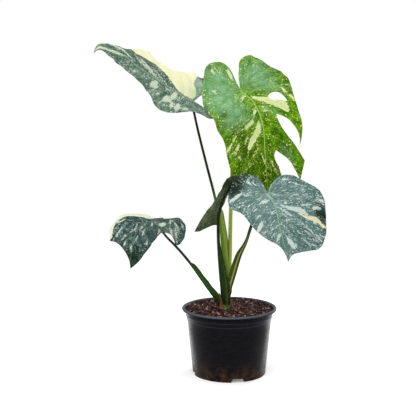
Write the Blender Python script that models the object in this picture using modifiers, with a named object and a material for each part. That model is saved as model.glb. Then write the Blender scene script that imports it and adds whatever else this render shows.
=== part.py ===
"""Potted Thai constellation monstera: pot, soil, stem, five petioles, five leaves and a dry sheath.

Metres, +Z up. The origin is on the ground at the pot's axis, and the plant's front faces -Y.
"""
import bpy
import bmesh
import numpy as np
from math import radians
from mathutils import Vector

MM = 0.001
GAP = 0.0003                 # clearance wherever two pieces meet
RIM_RADIUS = 0.0750          # outer edge of the rolled lip
POT_HEIGHT = 0.1060
BAND_RADIUS = 0.0690         # the wall just under the lip
STEP_RADIUS = 0.0664         # the wall just under the step, 21 mm below the lip
BASE_RADIUS = 0.0582
WALL = 0.0016
FOOT_HEIGHT = 0.0060         # notched ring under the bottom plate
PAD_RADIUS = 0.0085          # centre pad, level with the foot
DRAIN_RADIUS = 0.0035
SOIL_EDGE = 0.1036           # soil level at the wall
SOIL_CROWN = 0.1048          # soil level round the stem
STEM_X = -0.0072             # the stem stands a little left of the pot's axis
STEM_Y = -0.0100
STEM_RADIUS = 0.0072
STEM_TOP = 0.1180
BLADE = 0.0008               # thickness of a leaf blade
MIDRIB = 0.0022              # how far the midrib stands out below the blade
GRID = 0.0080                # mesh step across a blade
JOINT_DEPTH = 0.0018         # from the blade's upper face to the end of its petiole
RING = 14                    # points round a petiole

# A station is: place, upper-face direction, fold left and right of the midrib in degrees,
# curl left and right in degrees per millimetre. The second station is where the petiole joins.
# Right is the +y side of the flat outline. Outlines are in millimetres, x along the midrib;
# a third value marks a corner.
LEAVES = {
    "leaf_a": {
        "stations": [
            ((-24, 52, 413), (-.2, -.60, .78), 12, 24, -.4, -.10),
            ((-56, 42, 430), (-.2, -.62, .76), 8, 24, -.4, -.10),
            ((-105, 30, 458), (-.2, -.68, .70), -4, 20, -.4, -.10),
            ((-143, 20, 484), (-.2, -.68, .70), -8, 14, -.4, -.10),
            ((-169, 13, 503), (-.3, -.65, .70), -8, 10, -.5, -.10),
            ((-199, 6, 514), (-.5, -.60, .50), -8, 8, -.3, 0),
            ((-210, 2, 502), (-.8, -.60, .30), -4, 4, 0, 0),
        ],
        "outline": [
            (0, 0, 1), (-16, 4), (-29, 12), (-35, 28), (-27, 42), (-6, 45), (14, 54), (30, 68),
            (45, 75), (57, 65), (69, 50), (82, 37), (104, 28), (130, 27), (151, 27), (170, 13),
            (188, 0, 1), (168, -9), (148, -15), (128, -22), (118, -39), (104, -50), (86, -46),
            (66, -43), (46, -47), (28, -59), (8, -77), (-14, -78), (-34, -62), (-38, -46),
            (-25, -31), (-11, -22), (-5, -11),
        ],
        "hole": [],
        "reach": 40, "wave": (1.0, 34),
    },
    "leaf_b": {
        "stations": [
            ((9, 55, 512), (0, -.85, .50), 5, 5, -.2, -.2),
            ((17, 20, 448), (-.05, -.80, .60), 5, 5, -.2, -.2),
            ((36, 4, 429), (0, -.80, .60), 5, 5, -.2, -.2),
            ((50, -10, 395), (0, -.90, .40), 8, 8, -.2, -.2),
            ((54, -18, 346), (0, -.97, .20), 8, 8, -.2, -.2),
            ((59, -12, 290), (0, -.99, .10), 8, 8, -.2, -.2),
            ((61, -2, 258), (0, -.96, -.20), 6, 6, 0, 0),
        ],
        "outline": [
            (0, 0, 1), (-19, 2), (-37, 5), (-54, 9), (-61, 20), (-56, 34), (-42, 49), (-24, 65),
            (-2, 76), (18, 75), (38, 66), (60, 60), (82, 60), (98, 58), (110, 54, 1), (96, 54),
            (82, 47), (70, 36), (63, 24, 1), (76, 26), (92, 34), (108, 46), (133, 60, 1),
            (163, 51, 1), (148, 45), (131, 36), (114, 17, 1), (122, 14), (142, 20), (165, 23),
            (186, 18), (211, 0, 1), (192, -9), (174, -15), (160, -26), (153, -41), (146, -51), (122, -58), (98, -61),
            (66, -70), (30, -69), (-4, -63), (-32, -52), (-47, -45), (-53, -32), (-50, -19),
            (-38, -9), (-20, -4),
        ],
        "hole": [(32, 27), (30, 33), (34, 44), (44, 48), (52, 49, 1), (46, 36), (39, 25)],
        "reach": 40, "wave": (0.8, 40),
    },
    "leaf_c": {
        "stations": [
            ((48, -35, 328), (0, -.85, .50), 5, 5, -.4, -.2),
            ((56, -58, 293), (0, -.85, .50), 5, 5, -.5, -.2),
            ((65, -70, 275), (0, -.88, .44), 5, 5, -.5, -.2),
            ((72, -78, 245), (0, -.95, .28), 5, 5, -.5, -.2),
            ((80, -80, 212), (0, -.97, .15), 5, 5, -.4, -.2),
            ((85, -78, 191), (0, -.97, .10), 5, 5, -.2, -.2),
        ],
        "outline": [
            (0, 0, 1), (-14, 11), (-22, 25), (-20, 40), (-8, 55), (8, 68), (28, 75), (48, 73),
            (70, 68), (90, 61), (102, 49), (102, 36), (101, 22), (102, 9), (111, 0, 1), (99, -1),
            (85, -7), (71, -22), (56, -34), (38, -43), (20, -51), (6, -62), (-12, -60),
            (-28, -50), (-38, -35), (-35, -20), (-25, -8),
        ],
        "hole": [],
        "reach": 40, "wave": (0.8, 34),
    },
    "leaf_d": {
        "stations": [
            ((-76, -30, 234), (.2, -.75, .60), -6, -10, -1.2, -.4),
            ((-104, -40, 238), (0, -.75, .65), -8, -10, -1.25, -.3),
            ((-120, -46, 248), (-.2, -.80, .60), -12, -10, -1.1, -.3),
            ((-138, -56, 240), (-.3, -.85, .40), -6, -5, -.6, -.2),
            ((-147, -64, 212), (-.2, -.95, .15), 0, 0, -.4, 0),
            ((-151, -66, 178), (-.1, -.99, .10), 0, 0, 0, 0),
        ],
        "outline": [
            (0, -17, 1), (-12, -28), (-28, -32), (-38, -16), (-39, 4), (-36, 18), (-28, 26),
            (-22, 18), (-14, 9), (0, 9), (12, 20), (28, 31), (58, 29), (78, 21), (94, 13),
            (107, 1, 1), (94, -2), (81, -13), (75, -26), (75, -38, 1), (60, -47), (34, -52), (10, -50),
            (-6, -42), (-10, -30), (-4, -22),
        ],
        "hole": [],
        "reach": 45, "wave": (1.0, 30),
    },
    "leaf_e": {
        "stations": [
            ((25, -13, 298), (-.40, .60, .70), 18, 12, -.1, -2.6),
            ((8, -16, 303), (-.46, .78, .40), 20, 12, -.1, -2.8),
            ((1.5, -17, 297.5), (-.54, .72, .41), 25, 18, -.1, -2.1),
            ((-6, -18, 289), (-.60, .66, .42), 28, 14, -.1, -2.5),
            ((-20, -19, 267), (-.60, .70, .35), 24, -2, -.1, -1.6),
            ((-35, -21, 247), (-.55, .75, .35), 8, -8, -.2, -.5),
            ((-53, -25, 231), (-.50, .80, .35), 0, 0, 0, 0),
        ],
        "outline": [
            (0, 0, 1), (-8, 5), (-14, 11), (-13, 18), (-4, 25), (6, 29), (14, 27), (22, 24),
            (32, 21), (44, 20), (57, 20), (74, 14), (88, 6), (98, 0, 1), (92, -6), (85, -9),
            (77, -14), (71, -20), (68, -27, 1), (60, -27), (44, -24), (20, -23), (2, -23), (-10, -18),
            (-13, -10), (-7, -4),
        ],
        "hole": [],
        "reach": 18, "wave": (0.8, 28),
    },
}

# A petiole is: points from the stem up towards its blade, radii in millimetres at those points
# and at the joint, the shares of its length where the sheath starts and ends and over which it fades
# out at its end, how far the sheath's walls stand out, the half width of the channel between them and
# the way that it opens.
PETIOLES = {
    "petiole_a": {
        "path": [(-7, -6, 112), (-7, -1.7, 147), (-8.8, 8.5, 180), (-13.3, 26, 231), (-22, 39, 274),
                 (-36, 49, 328), (-49, 50, 380), (-56, 46, 412)],
        "radius": [2.4, 2.4, 2.4, 2.3, 2.2, 2.1, 2.0, 1.8, 1.4],
        "starts": -0.02, "sheath": 0.50, "taper": 0.06, "wall": 7.6, "channel": 3.9, "open": (1, -.25, .1),
    },
    "petiole_b": {
        "path": [(-2, -6, 112), (-1, -1.7, 147), (1, 8.5, 180), (2, 24, 225), (3, 34, 259), (5, 40, 320),
                 (5, 40, 384), (7, 34, 425)],
        "radius": [2.7, 2.8, 3.0, 3.1, 3.0, 2.8, 2.6, 2.4, 1.5],
        "starts": 1.0, "sheath": 0.0, "taper": 0.06, "wall": 0.0, "channel": 2.0, "open": (-.5, -.8, 0),
    },
    "petiole_c": {
        "path": [(-2, -12, 112), (1, -13.7, 137), (7, -17.2, 159), (16, -26, 193), (24, -33.3, 213),
                 (32, -42, 240), (40, -48, 261), (49, -53, 281)],
        "radius": [2.7, 2.8, 2.7, 2.6, 2.4, 2.3, 2.2, 2.0, 1.4],
        "starts": 0.12, "sheath": 0.66, "taper": 0.30, "wall": 5.4, "channel": 2.0, "open": (-.8, .3, .5),
    },
    "petiole_d": {
        "path": [(-9, -11, 110), (-16, -13.9, 117), (-27, -19.2, 131), (-42, -25, 153), (-59, -28.8, 178),
                 (-73, -31.6, 196), (-85, -34.5, 210), (-99, -36, 225)],
        "radius": [3.0, 2.9, 2.6, 2.3, 2.1, 2.0, 1.9, 1.7, 1.4],
        "starts": -0.08, "sheath": 0.56, "taper": 0.06, "wall": 4.6, "channel": 1.9, "open": (.7, .1, .7),
    },
    "petiole_e": {
        "path": [(-10, -13, 112), (-12, -14.5, 140), (-14.5, -13.9, 169), (-17, -15.7, 207), (-18, -20, 234),
                 (-17, -27, 255), (-11, -31, 277), (-4, -28, 291), (3, -22, 300)],
        "radius": [2.6, 2.7, 2.7, 2.6, 2.4, 2.2, 2.0, 1.8, 1.7, 1.3],
        "starts": -0.04, "sheath": 0.56, "taper": 0.34, "wall": 7.0, "channel": 1.7, "open": (1, -.45, 0),
    },
}

# The dry sheath's strip, from its foot up: inner middle point, half width, how far its edges bow back
# round the stem, all in millimetres, and the way it faces in degrees.
SCRAP = [
    (-12.6, -15.5, 105.3, 4.6, 1.5, 225), (-12.8, -16.1, 108.8, 4, 1.2, 228),
    (-12.9, -17.1, 112.5, 3, 0.8, 238), (-13.3, -18.3, 118, 2.3, 0.5, 250),
    (-14.4, -19.1, 124, 1.8, 0.3, 255), (-15.4, -19.1, 129, 1.3, 0.2, 255),
    (-15.9, -18.6, 133.5, 0.7, 0.1, 255),
]

COLOURS = {
    "pot_plastic": (0.020, 0.021, 0.024, 1),
    "soil_coir": (0.075, 0.040, 0.024, 1),
    "stem_green": (0.20, 0.32, 0.05, 1),
    "petiole_green": (0.14, 0.25, 0.05, 1),
    "leaf_green": (0.045, 0.13, 0.035, 1),
    "dry_brown": (0.32, 0.17, 0.07, 1),
}


def clear_scene():
    for obj in list(bpy.data.objects):
        bpy.data.objects.remove(obj, do_unlink=True)


def collection(name, hidden=False):
    made = bpy.data.collections.new(name)
    bpy.context.scene.collection.children.link(made)
    made.hide_render = hidden
    return made


def material(name):
    made = bpy.data.materials.new(name)
    made.use_nodes = True
    shader = made.node_tree.nodes["Principled BSDF"]
    shader.inputs["Base Color"].default_value = COLOURS[name]
    shader.inputs["Roughness"].default_value = 0.5
    made.diffuse_color = COLOURS[name]
    return made


def add_object(name, mesh, group, slot=None):
    obj = bpy.data.objects.new(name, mesh)
    group.objects.link(obj)
    if slot:
        obj.data.materials.append(slot)
    return obj


def cutter(name, mesh, group):
    obj = add_object(name, mesh, group)
    obj.hide_render = True
    obj.display_type = "WIRE"
    return obj


def subtract(obj, tool):
    cut = obj.modifiers.new("Cut " + tool.name, "BOOLEAN")
    cut.operation = "DIFFERENCE"
    cut.solver = "EXACT"
    cut.object = tool


def mesh_from(name, points, faces):
    """Closed mesh in triangles, its faces turned outward."""
    mesh = bpy.data.meshes.new(name)
    mesh.from_pydata([tuple(p) for p in points], [], faces)
    bm = bmesh.new()
    bm.from_mesh(mesh)
    bmesh.ops.recalc_face_normals(bm, faces=bm.faces)
    bmesh.ops.triangulate(bm, faces=bm.faces)
    bm.to_mesh(mesh)
    bm.free()
    return mesh


def turned(name, profile, group, slot, centre=(0, 0), steps=56):
    """Turn a profile of (radius, height) about a vertical axis; it runs down the outer side."""
    points = [(centre[0] + r, centre[1], z) for r, z in profile]
    edges = [(i, i + 1) for i in range(len(points) - 1)]
    mesh = bpy.data.meshes.new(name)
    mesh.from_pydata(points, edges, [])
    obj = add_object(name, mesh, group, slot)
    axis = bpy.data.objects.new(name + "_axis", None)
    axis.location = (centre[0], centre[1], 0)
    axis.hide_render = True
    CUTTERS.objects.link(axis)
    screw = obj.modifiers.new("Turn", "SCREW")
    screw.object = axis
    screw.steps = steps
    screw.render_steps = steps
    screw.use_merge_vertices = True
    screw.merge_threshold = 0.00001
    screw.use_smooth_shade = False
    return obj


def prism(name, corners, low, high, group):
    """Closed upright prism over corners given as (x, y)."""
    n = len(corners)
    points = [(x, y, low) for x, y in corners] + [(x, y, high) for x, y in corners]
    faces = [tuple(reversed(range(n))), tuple(range(n, 2 * n))]
    faces += [(i, (i + 1) % n, n + (i + 1) % n, n + i) for i in range(n)]
    return cutter(name, mesh_from(name, points, faces), group)


def unit(v):
    v = np.asarray(v, float)
    return v / np.linalg.norm(v, axis=-1, keepdims=True)


def smooth_path(points, per_span):
    """Smooth curve through the points, with its slopes set by their neighbours."""
    p = np.array(points, float)
    t = np.r_[0, np.cumsum(np.linalg.norm(np.diff(p, axis=0), axis=1))]
    m = np.empty_like(p)
    m[1:-1] = (p[2:] - p[:-2]) / (t[2:] - t[:-2])[:, None]
    m[0] = 2 * (p[1] - p[0]) / (t[1] - t[0]) - m[1]
    m[-1] = 2 * (p[-1] - p[-2]) / (t[-1] - t[-2]) - m[-2]
    out = []
    for i in range(len(p) - 1):
        h = t[i + 1] - t[i]
        s = np.linspace(0, 1, per_span, endpoint=(i == len(p) - 2))[:, None]
        out.append((2 * s**3 - 3 * s**2 + 1) * p[i] + (s**3 - 2 * s**2 + s) * h * m[i]
                   + (3 * s**2 - 2 * s**3) * p[i + 1] + (s**3 - s**2) * h * m[i + 1])
    return np.concatenate(out)


class Blade:
    """Carries flat leaf places (x along the midrib, y across) to their places on the bent blade."""

    def __init__(self, spec):
        stations = spec["stations"]
        self.path = smooth_path([s[0] for s in stations], 40)
        run = np.r_[0, np.cumsum(np.linalg.norm(np.diff(self.path, axis=0), axis=1))]
        self.x = run - run[40]
        self.knots = self.x[[min(40 * i, len(self.x) - 1) for i in range(len(stations))]]
        reach = spec["reach"]
        self.along = unit(self.at(self.path, self.x + reach) - self.at(self.path, self.x - reach))
        self.face = unit([s[1] for s in stations])
        self.fold = np.radians([s[2:4] for s in stations])
        self.curl = np.radians([s[4:6] for s in stations])
        self.wave = spec["wave"]

    def at(self, table, x):
        x = np.clip(x, self.x[0], self.x[-1])
        return np.stack([np.interp(x, self.x, column) for column in table.T], -1)

    def bend(self, x, y):
        """Places and upper-face normals, in millimetres."""
        x = np.asarray(x, float)
        y = np.asarray(y, float)
        inside = np.clip(x, self.x[0], self.x[-1])
        along = unit(self.at(self.along, inside))
        face = np.stack([np.interp(inside, self.knots, c) for c in self.face.T], -1)
        across = unit(np.cross(face, along))
        up = np.cross(along, across)
        place = self.at(self.path, inside) + along * (x - inside)[..., None]
        side = (y >= 0).astype(int)
        fold = np.where(side, np.interp(inside, self.knots, self.fold[:, 1]),
                        np.interp(inside, self.knots, self.fold[:, 0]))
        curl = np.where(side, np.interp(inside, self.knots, self.curl[:, 1]),
                        np.interp(inside, self.knots, self.curl[:, 0]))
        curl = np.where(np.abs(curl) < 1e-6, 1e-6, curl)
        far = np.abs(y)
        out = (np.sin(fold + curl * far) - np.sin(fold)) / curl
        rise = (np.cos(fold) - np.cos(fold + curl * far)) / curl
        height, length = self.wave
        rise = rise + height * np.sin(2 * np.pi * (x - 0.5 * far) / length) * (far / 50)**2
        return place + across * (np.sign(y) * out)[..., None] + up * rise[..., None]

    def joint(self):
        """Where the petiole ends, inside the midrib just past the notch."""
        here, beside, ahead = self.bend([3.0, 3.0, 4.0], [0.0, 1.0, 0.0])
        up = unit(np.cross(ahead - here, beside - here))
        return here - up * JOINT_DEPTH / MM


def outline_mesh(name, spec):
    """Flat filled mesh of the outline, with its hole, in millimetres."""
    curve = bpy.data.curves.new(name, "CURVE")
    curve.dimensions = "2D"
    curve.fill_mode = "BOTH"
    curve.resolution_u = 4
    for loop in (spec["outline"], spec["hole"]):
        if not loop:
            continue
        spline = curve.splines.new("BEZIER")
        spline.bezier_points.add(len(loop) - 1)
        spline.use_cyclic_u = True
        for knot, place in zip(spline.bezier_points, loop):
            knot.co = (place[0], place[1], 0)
            kind = "VECTOR" if len(place) > 2 else "AUTO"
            knot.handle_left_type = kind
            knot.handle_right_type = kind
    drawn = bpy.data.objects.new(name + "_drawn", curve)
    CUTTERS.objects.link(drawn)
    bpy.context.view_layer.update()
    mesh = bpy.data.meshes.new_from_object(drawn.evaluated_get(bpy.context.evaluated_depsgraph_get()))
    bpy.data.objects.remove(drawn)
    return mesh


def gridded(mesh, step, ribs):
    """Cut the flat mesh along a grid and along the midrib, and split it into triangles."""
    bm = bmesh.new()
    bm.from_mesh(mesh)
    bmesh.ops.remove_doubles(bm, verts=bm.verts, dist=0.01)
    bmesh.ops.dissolve_limit(bm, angle_limit=0.01, verts=bm.verts, edges=bm.edges)
    low = [min(v.co[i] for v in bm.verts) for i in (0, 1)]
    high = [max(v.co[i] for v in bm.verts) for i in (0, 1)]
    cuts = [((x, 0, 0), (1, 0, 0)) for x in np.arange(np.floor(low[0] / step) * step, high[0], step)]
    cuts += [((0, y, 0), (0, 1, 0)) for y in np.arange(step, high[1], step)]
    cuts += [((0, -y, 0), (0, 1, 0)) for y in np.arange(step, -low[1], step)]
    cuts += [((0, y, 0), (0, 1, 0)) for y in ribs]
    for place, normal in cuts:
        everything = bm.verts[:] + bm.edges[:] + bm.faces[:]
        bmesh.ops.bisect_plane(bm, geom=everything, dist=0.0001, plane_co=place, plane_no=normal)
    bmesh.ops.remove_doubles(bm, verts=bm.verts, dist=0.2)
    bmesh.ops.triangulate(bm, faces=bm.faces, quad_method="BEAUTY", ngon_method="EAR_CLIP")
    for face in bm.faces:
        if face.normal.z < 0:
            face.normal_flip()
    bm.to_mesh(mesh)
    bm.free()
    return mesh


def leaf(name, spec, group, slot, grown=0.0):
    """A blade of even thickness with its midrib standing out below."""
    mesh = gridded(outline_mesh(name, spec), GRID / MM, (-2.6, 0.0, 2.6))
    flat = np.array([v.co[:2] for v in mesh.vertices])
    blade = Blade(spec)
    places = blade.bend(flat[:, 0], flat[:, 1])
    for v, p in zip(mesh.vertices, places):
        v.co = Vector(p * MM)
    mesh.update()
    for v, normal in zip(mesh.vertices, [n.vector.copy() for n in mesh.vertex_normals]):
        v.co += normal * grown
    obj = add_object(name, mesh, group, slot)
    length = blade.x[-1]
    rib = obj.vertex_groups.new(name="midrib")
    for i, (x, y) in enumerate(flat):
        taper = np.clip(1 - x / length, 0, 1) * (x > -0.5)
        rib.add([i], float(taper * np.clip((2.6 - abs(y)) / 2.6, 0, 1)), "REPLACE")
    shell = obj.modifiers.new("Thickness", "SOLIDIFY")
    shell.thickness = BLADE + MIDRIB + 2 * grown
    shell.offset = -1
    shell.vertex_group = "midrib"
    shell.thickness_vertex_group = (BLADE + 2 * grown) / shell.thickness
    shell.use_even_offset = False
    return obj


def section(radius, wall, channel, opening, grow):
    """Ring of (across, out) places from a round stalk to a channel between two thin walls."""
    turn = np.radians([0, 20, 40, 62, 90, 122, 152, 180])
    round_across = radius * np.sin(turn)
    round_out = radius * np.cos(turn)
    outer = channel + 0.9
    open_across = np.array([0, 0.55 * channel, channel, channel, outer, outer, 0.75 * outer, 0])
    open_out = np.array([-0.1 * radius, 0, 0.5 * radius, radius + wall, radius + wall,
                         0.1 * radius, -0.8 * radius, -radius])
    across = round_across + (open_across - round_across) * opening
    out = round_out + (open_out - round_out) * opening
    across = np.r_[across, -across[6:0:-1]]
    out = np.r_[out, out[6:0:-1]]
    if grow:
        ring = np.stack([across, out], -1)
        step = unit(np.roll(ring, -1, 0) - np.roll(ring, 1, 0))
        across = across - step[:, 1] * grow * 1.1
        out = out + step[:, 0] * grow * 1.1
    return across, out


def petiole(name, spec, joint, group, slot, grow=0.0):
    """A stalk along its path, with its sheath below."""
    count = 26
    joined = np.c_[np.array(spec["path"] + [tuple(joint)], float), spec["radius"]]
    dense = smooth_path(joined, 30)
    run = np.r_[0, np.cumsum(np.linalg.norm(np.diff(dense[:, :3], axis=0), axis=1))]
    share = np.linspace(0, 1, count)
    path = np.stack([np.interp(share * run[-1], run, c) for c in dense.T], -1)
    along = unit(np.gradient(path[:, :3], axis=0))
    rings = []
    for p, t, s in zip(path, along, share):
        front = np.array(spec["open"], float)
        front = unit(front - t * np.dot(front, t))
        side = np.cross(t, front)
        left = np.clip(spec["sheath"] - s, 0, 1)
        opening = np.clip(min(left / spec["taper"], (s - spec["starts"]) / 0.08), 0, 1)
        wall = spec["wall"] * (0.55 + 0.45 * np.clip(left / 0.4, 0, 1))
        across, out = section(p[3], wall, spec["channel"], opening * opening * (3 - 2 * opening), grow / MM)
        rings.append(p[:3] + np.outer(across, side) + np.outer(out, front))
    if grow:
        rings[0] = rings[0] - along[0] * 2
        rings[-1] = rings[-1] + along[-1] * grow / MM
    points = np.concatenate(rings) * MM
    n = RING
    faces = [tuple(reversed(range(n))), tuple(range((count - 1) * n, count * n))]
    for k in range(count - 1):
        for i in range(n):
            a, b = k * n + i, k * n + (i + 1) % n
            faces += [(a, b, b + n), (a, b + n, a + n)]
    return add_object(name, mesh_from(name, points, faces), group, slot)


def build_pot(slot):
    profile = [
        (0.0, FOOT_HEIGHT + WALL), (BASE_RADIUS - 0.0034, FOOT_HEIGHT + WALL),
        (BASE_RADIUS - 0.0018, FOOT_HEIGHT + WALL + 0.0015), (STEP_RADIUS - WALL, 0.0850),
        (BAND_RADIUS - WALL - 0.0012, 0.0885), (BAND_RADIUS - WALL, POT_HEIGHT - 0.0050),
        (RIM_RADIUS - 0.0040, POT_HEIGHT - 0.0008), (RIM_RADIUS - 0.0032, POT_HEIGHT),
        (RIM_RADIUS - 0.0012, POT_HEIGHT), (RIM_RADIUS - 0.0002, POT_HEIGHT - 0.0010),
        (RIM_RADIUS, POT_HEIGHT - 0.0024), (RIM_RADIUS - 0.0004, POT_HEIGHT - 0.0040),
        (BAND_RADIUS + 0.0012, POT_HEIGHT - 0.0050), (BAND_RADIUS, POT_HEIGHT - 0.0062),
        (BAND_RADIUS - 0.0012, 0.0885), (STEP_RADIUS, 0.0850),
        (BASE_RADIUS, 0.0006), (BASE_RADIUS - 0.0006, 0.0), (BASE_RADIUS - 0.0026, 0.0),
        (BASE_RADIUS - 0.0034, FOOT_HEIGHT), (PAD_RADIUS + 0.0008, FOOT_HEIGHT),
        (PAD_RADIUS, 0.0), (0.0, 0.0),
    ]
    pot = turned("pot", profile, OBJECT, slot)
    for k in range(4):
        angle = radians(-78 + 90 * k)
        out = np.array([np.cos(angle), np.sin(angle)])
        side = np.array([-out[1], out[0]])
        near = BASE_RADIUS - 0.0080
        far = BASE_RADIUS + 0.0060
        points = []
        for reach in (near, far):
            for half, z in ((0.0120, -0.001), (0.0120, 0.0), (0.0076, 0.0056), (-0.0076, 0.0056),
                            (-0.0120, 0.0), (-0.0120, -0.001)):
                p = out * reach + side * half
                points.append((p[0], p[1], z))
        faces = [(0, 1, 2, 3, 4, 5), (11, 10, 9, 8, 7, 6)]
        faces += [(i, i + 6, (i + 1) % 6 + 6, (i + 1) % 6) for i in range(6)]
        subtract(pot, cutter("notch_%d" % k, mesh_from("notch", points, faces), CUTTERS))
        middle = angle + radians(45)
        turn = np.linspace(0, 2 * np.pi, 16, endpoint=False)
        ring = [(0.042 * np.cos(middle) + DRAIN_RADIUS * np.cos(a),
                 0.042 * np.sin(middle) + DRAIN_RADIUS * np.sin(a)) for a in turn]
        subtract(pot, prism("drain_%d" % k, ring, 0.004, 0.012, CUTTERS))
    return pot


def build_soil(slot):
    edge = BAND_RADIUS - WALL - GAP
    profile = [
        (0.0, SOIL_CROWN), (0.020, SOIL_CROWN - 0.0002), (0.040, SOIL_CROWN - 0.0005),
        (0.058, SOIL_EDGE + 0.0004), (0.0692, SOIL_EDGE), (edge - 0.0001, 0.1010),
        (edge - 0.0013, 0.0886), (STEP_RADIUS - WALL - GAP - 0.0002, 0.0850),
        (BASE_RADIUS - 0.0018 - GAP, FOOT_HEIGHT + WALL + 0.0018),
        (BASE_RADIUS - 0.0034 - GAP, FOOT_HEIGHT + WALL + GAP), (0.0, FOOT_HEIGHT + WALL + GAP),
    ]
    soil = turned("soil", profile, OBJECT, slot)
    turn = np.linspace(0, 2 * np.pi, 32, endpoint=False)
    reach = STEM_RADIUS + GAP
    ring = [(STEM_X + reach * np.cos(a), STEM_Y + reach * np.sin(a)) for a in turn]
    subtract(soil, prism("stem_hole", ring, 0.0597, 0.120, CUTTERS))
    return soil


def build_stem(slot):
    profile = [
        (0.0, STEM_TOP), (STEM_RADIUS - 0.0016, STEM_TOP - 0.0004), (STEM_RADIUS - 0.0009, STEM_TOP - 0.0016),
        (STEM_RADIUS - 0.0006, 0.1135), (STEM_RADIUS - 0.0001, 0.1128), (STEM_RADIUS - 0.0004, 0.1120),
        (STEM_RADIUS - 0.0002, 0.1070), (STEM_RADIUS, 0.1062), (STEM_RADIUS - 0.0003, 0.1052),
        (STEM_RADIUS - 0.0002, 0.0640), (STEM_RADIUS - 0.0016, 0.0605), (0.0, 0.0600),
    ]
    return turned("stem", profile, OBJECT, slot, (STEM_X, STEM_Y), 20)


def build_dry_sheath(slot):
    """A thin torn strip of an old leaf sheath, its foot on the soil's crown at the left of the stem."""
    points = []
    for x, y, z, half, bow, turn in SCRAP:
        out = np.array([np.cos(radians(turn)), np.sin(radians(turn))])
        side = np.array([-out[1], out[0]])
        for shell in (0.0, 0.8):
            for u in np.linspace(-1, 1, 9):
                place = np.array([x, y]) + side * half * u + out * (shell - bow * u * u)
                points.append((place[0] * MM, place[1] * MM, z * MM))
    faces = []
    last = 18 * (len(SCRAP) - 1)
    for i in range(8):
        faces += [(i, i + 1, i + 10, i + 9), (last + i + 9, last + i + 10, last + i + 1, last + i)]
    for k in range(len(SCRAP) - 1):
        a = 18 * k
        b = a + 18
        for i in range(8):
            faces += [(a + i + 9, a + i + 10, b + i + 10, b + i + 9), (b + i, b + i + 1, a + i + 1, a + i)]
        faces += [(a, a + 9, b + 9, b), (a + 8, b + 8, b + 17, a + 17)]
    return add_object("dry_sheath", mesh_from("dry_sheath", points, faces), OBJECT, slot)


def build():
    slots = {name: material(name) for name in COLOURS}
    build_pot(slots["pot_plastic"])
    build_soil(slots["soil_coir"])
    stem = build_stem(slots["stem_green"])
    scale = build_dry_sheath(slots["dry_brown"])
    core = prism("stem_room", [(STEM_X + (STEM_RADIUS + GAP) * np.cos(a), STEM_Y + (STEM_RADIUS + GAP) * np.sin(a))
                               for a in np.linspace(0, 2 * np.pi, 32, endpoint=False)],
                 0.100, STEM_TOP + GAP, CUTTERS)
    taken = [core]
    for name, spec in PETIOLES.items():
        blade = name.replace("petiole", "leaf")
        leaf(blade, LEAVES[blade], OBJECT, slots["leaf_green"])
        room = leaf("room_" + blade, LEAVES[blade], CUTTERS, None, GAP)
        joint = Blade(LEAVES[blade]).joint()
        stalk = petiole(name, spec, joint, OBJECT, slots["petiole_green"])
        grown = petiole("room_" + name, spec, joint, CUTTERS, None, 1.6 * GAP)
        for tool in (room, grown):
            tool.hide_render = True
            tool.display_type = "WIRE"
        for tool in taken + [room]:
            subtract(stalk, tool)
        subtract(scale, grown)
        taken.append(grown)


clear_scene()
OBJECT = collection("Monstera")
CUTTERS = collection("Cutters", hidden=True)
build()
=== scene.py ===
"""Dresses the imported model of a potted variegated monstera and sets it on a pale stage.

Laid out as an add-on and run as a script. The scene is in metres, +Z up, with the pot's axis at
the origin and the plant's front facing -Y. Leaf, stalk and sheath data are in millimetres.
"""
from math import cos, pi, radians, sin

import bmesh
import bpy
import numpy as np
from bpy.props import FloatProperty, FloatVectorProperty, IntProperty, PointerProperty
from mathutils import Matrix, Vector


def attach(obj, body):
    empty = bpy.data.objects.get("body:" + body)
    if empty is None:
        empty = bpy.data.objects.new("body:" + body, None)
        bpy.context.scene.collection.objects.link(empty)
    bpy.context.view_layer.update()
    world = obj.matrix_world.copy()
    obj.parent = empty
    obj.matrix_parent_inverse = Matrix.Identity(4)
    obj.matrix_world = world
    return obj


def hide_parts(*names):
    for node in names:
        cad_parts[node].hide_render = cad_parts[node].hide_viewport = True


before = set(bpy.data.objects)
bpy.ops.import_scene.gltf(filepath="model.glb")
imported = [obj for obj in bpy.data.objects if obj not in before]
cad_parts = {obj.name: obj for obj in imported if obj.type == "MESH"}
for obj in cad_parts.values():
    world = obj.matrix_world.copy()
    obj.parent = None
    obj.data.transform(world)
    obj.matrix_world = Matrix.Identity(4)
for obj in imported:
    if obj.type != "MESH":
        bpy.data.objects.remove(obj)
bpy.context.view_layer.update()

bl_info = {
    "name": "Potted variegated monstera",
    "version": (1, 0, 0),
    "blender": (4, 5, 0),
    "location": "3D View > Sidebar > Monstera",
    "description": "Models a young variegated monstera in a nursery pot over its packed solids",
    "category": "Add Mesh",
}

# LIGHT is how far the studio light brightens a colour. The pot's wall, the heights of its ledges and
# the stem's axis are in metres. The step along a side vein and the length that is one unit of a leaf's
# maps are in millimetres. Side veins left of the midrib are numbered from LEFT_VEINS.
MM = 0.001
LIGHT = 1.2
WALL = 0.0016
LEDGES = (0.0872, 0.0940)
STEM_AXIS = (-0.0072, -0.0100)
VEIN_STEP = 4.0
MAP_UNIT = 100.0
LEFT_VEINS = 40.0

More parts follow.
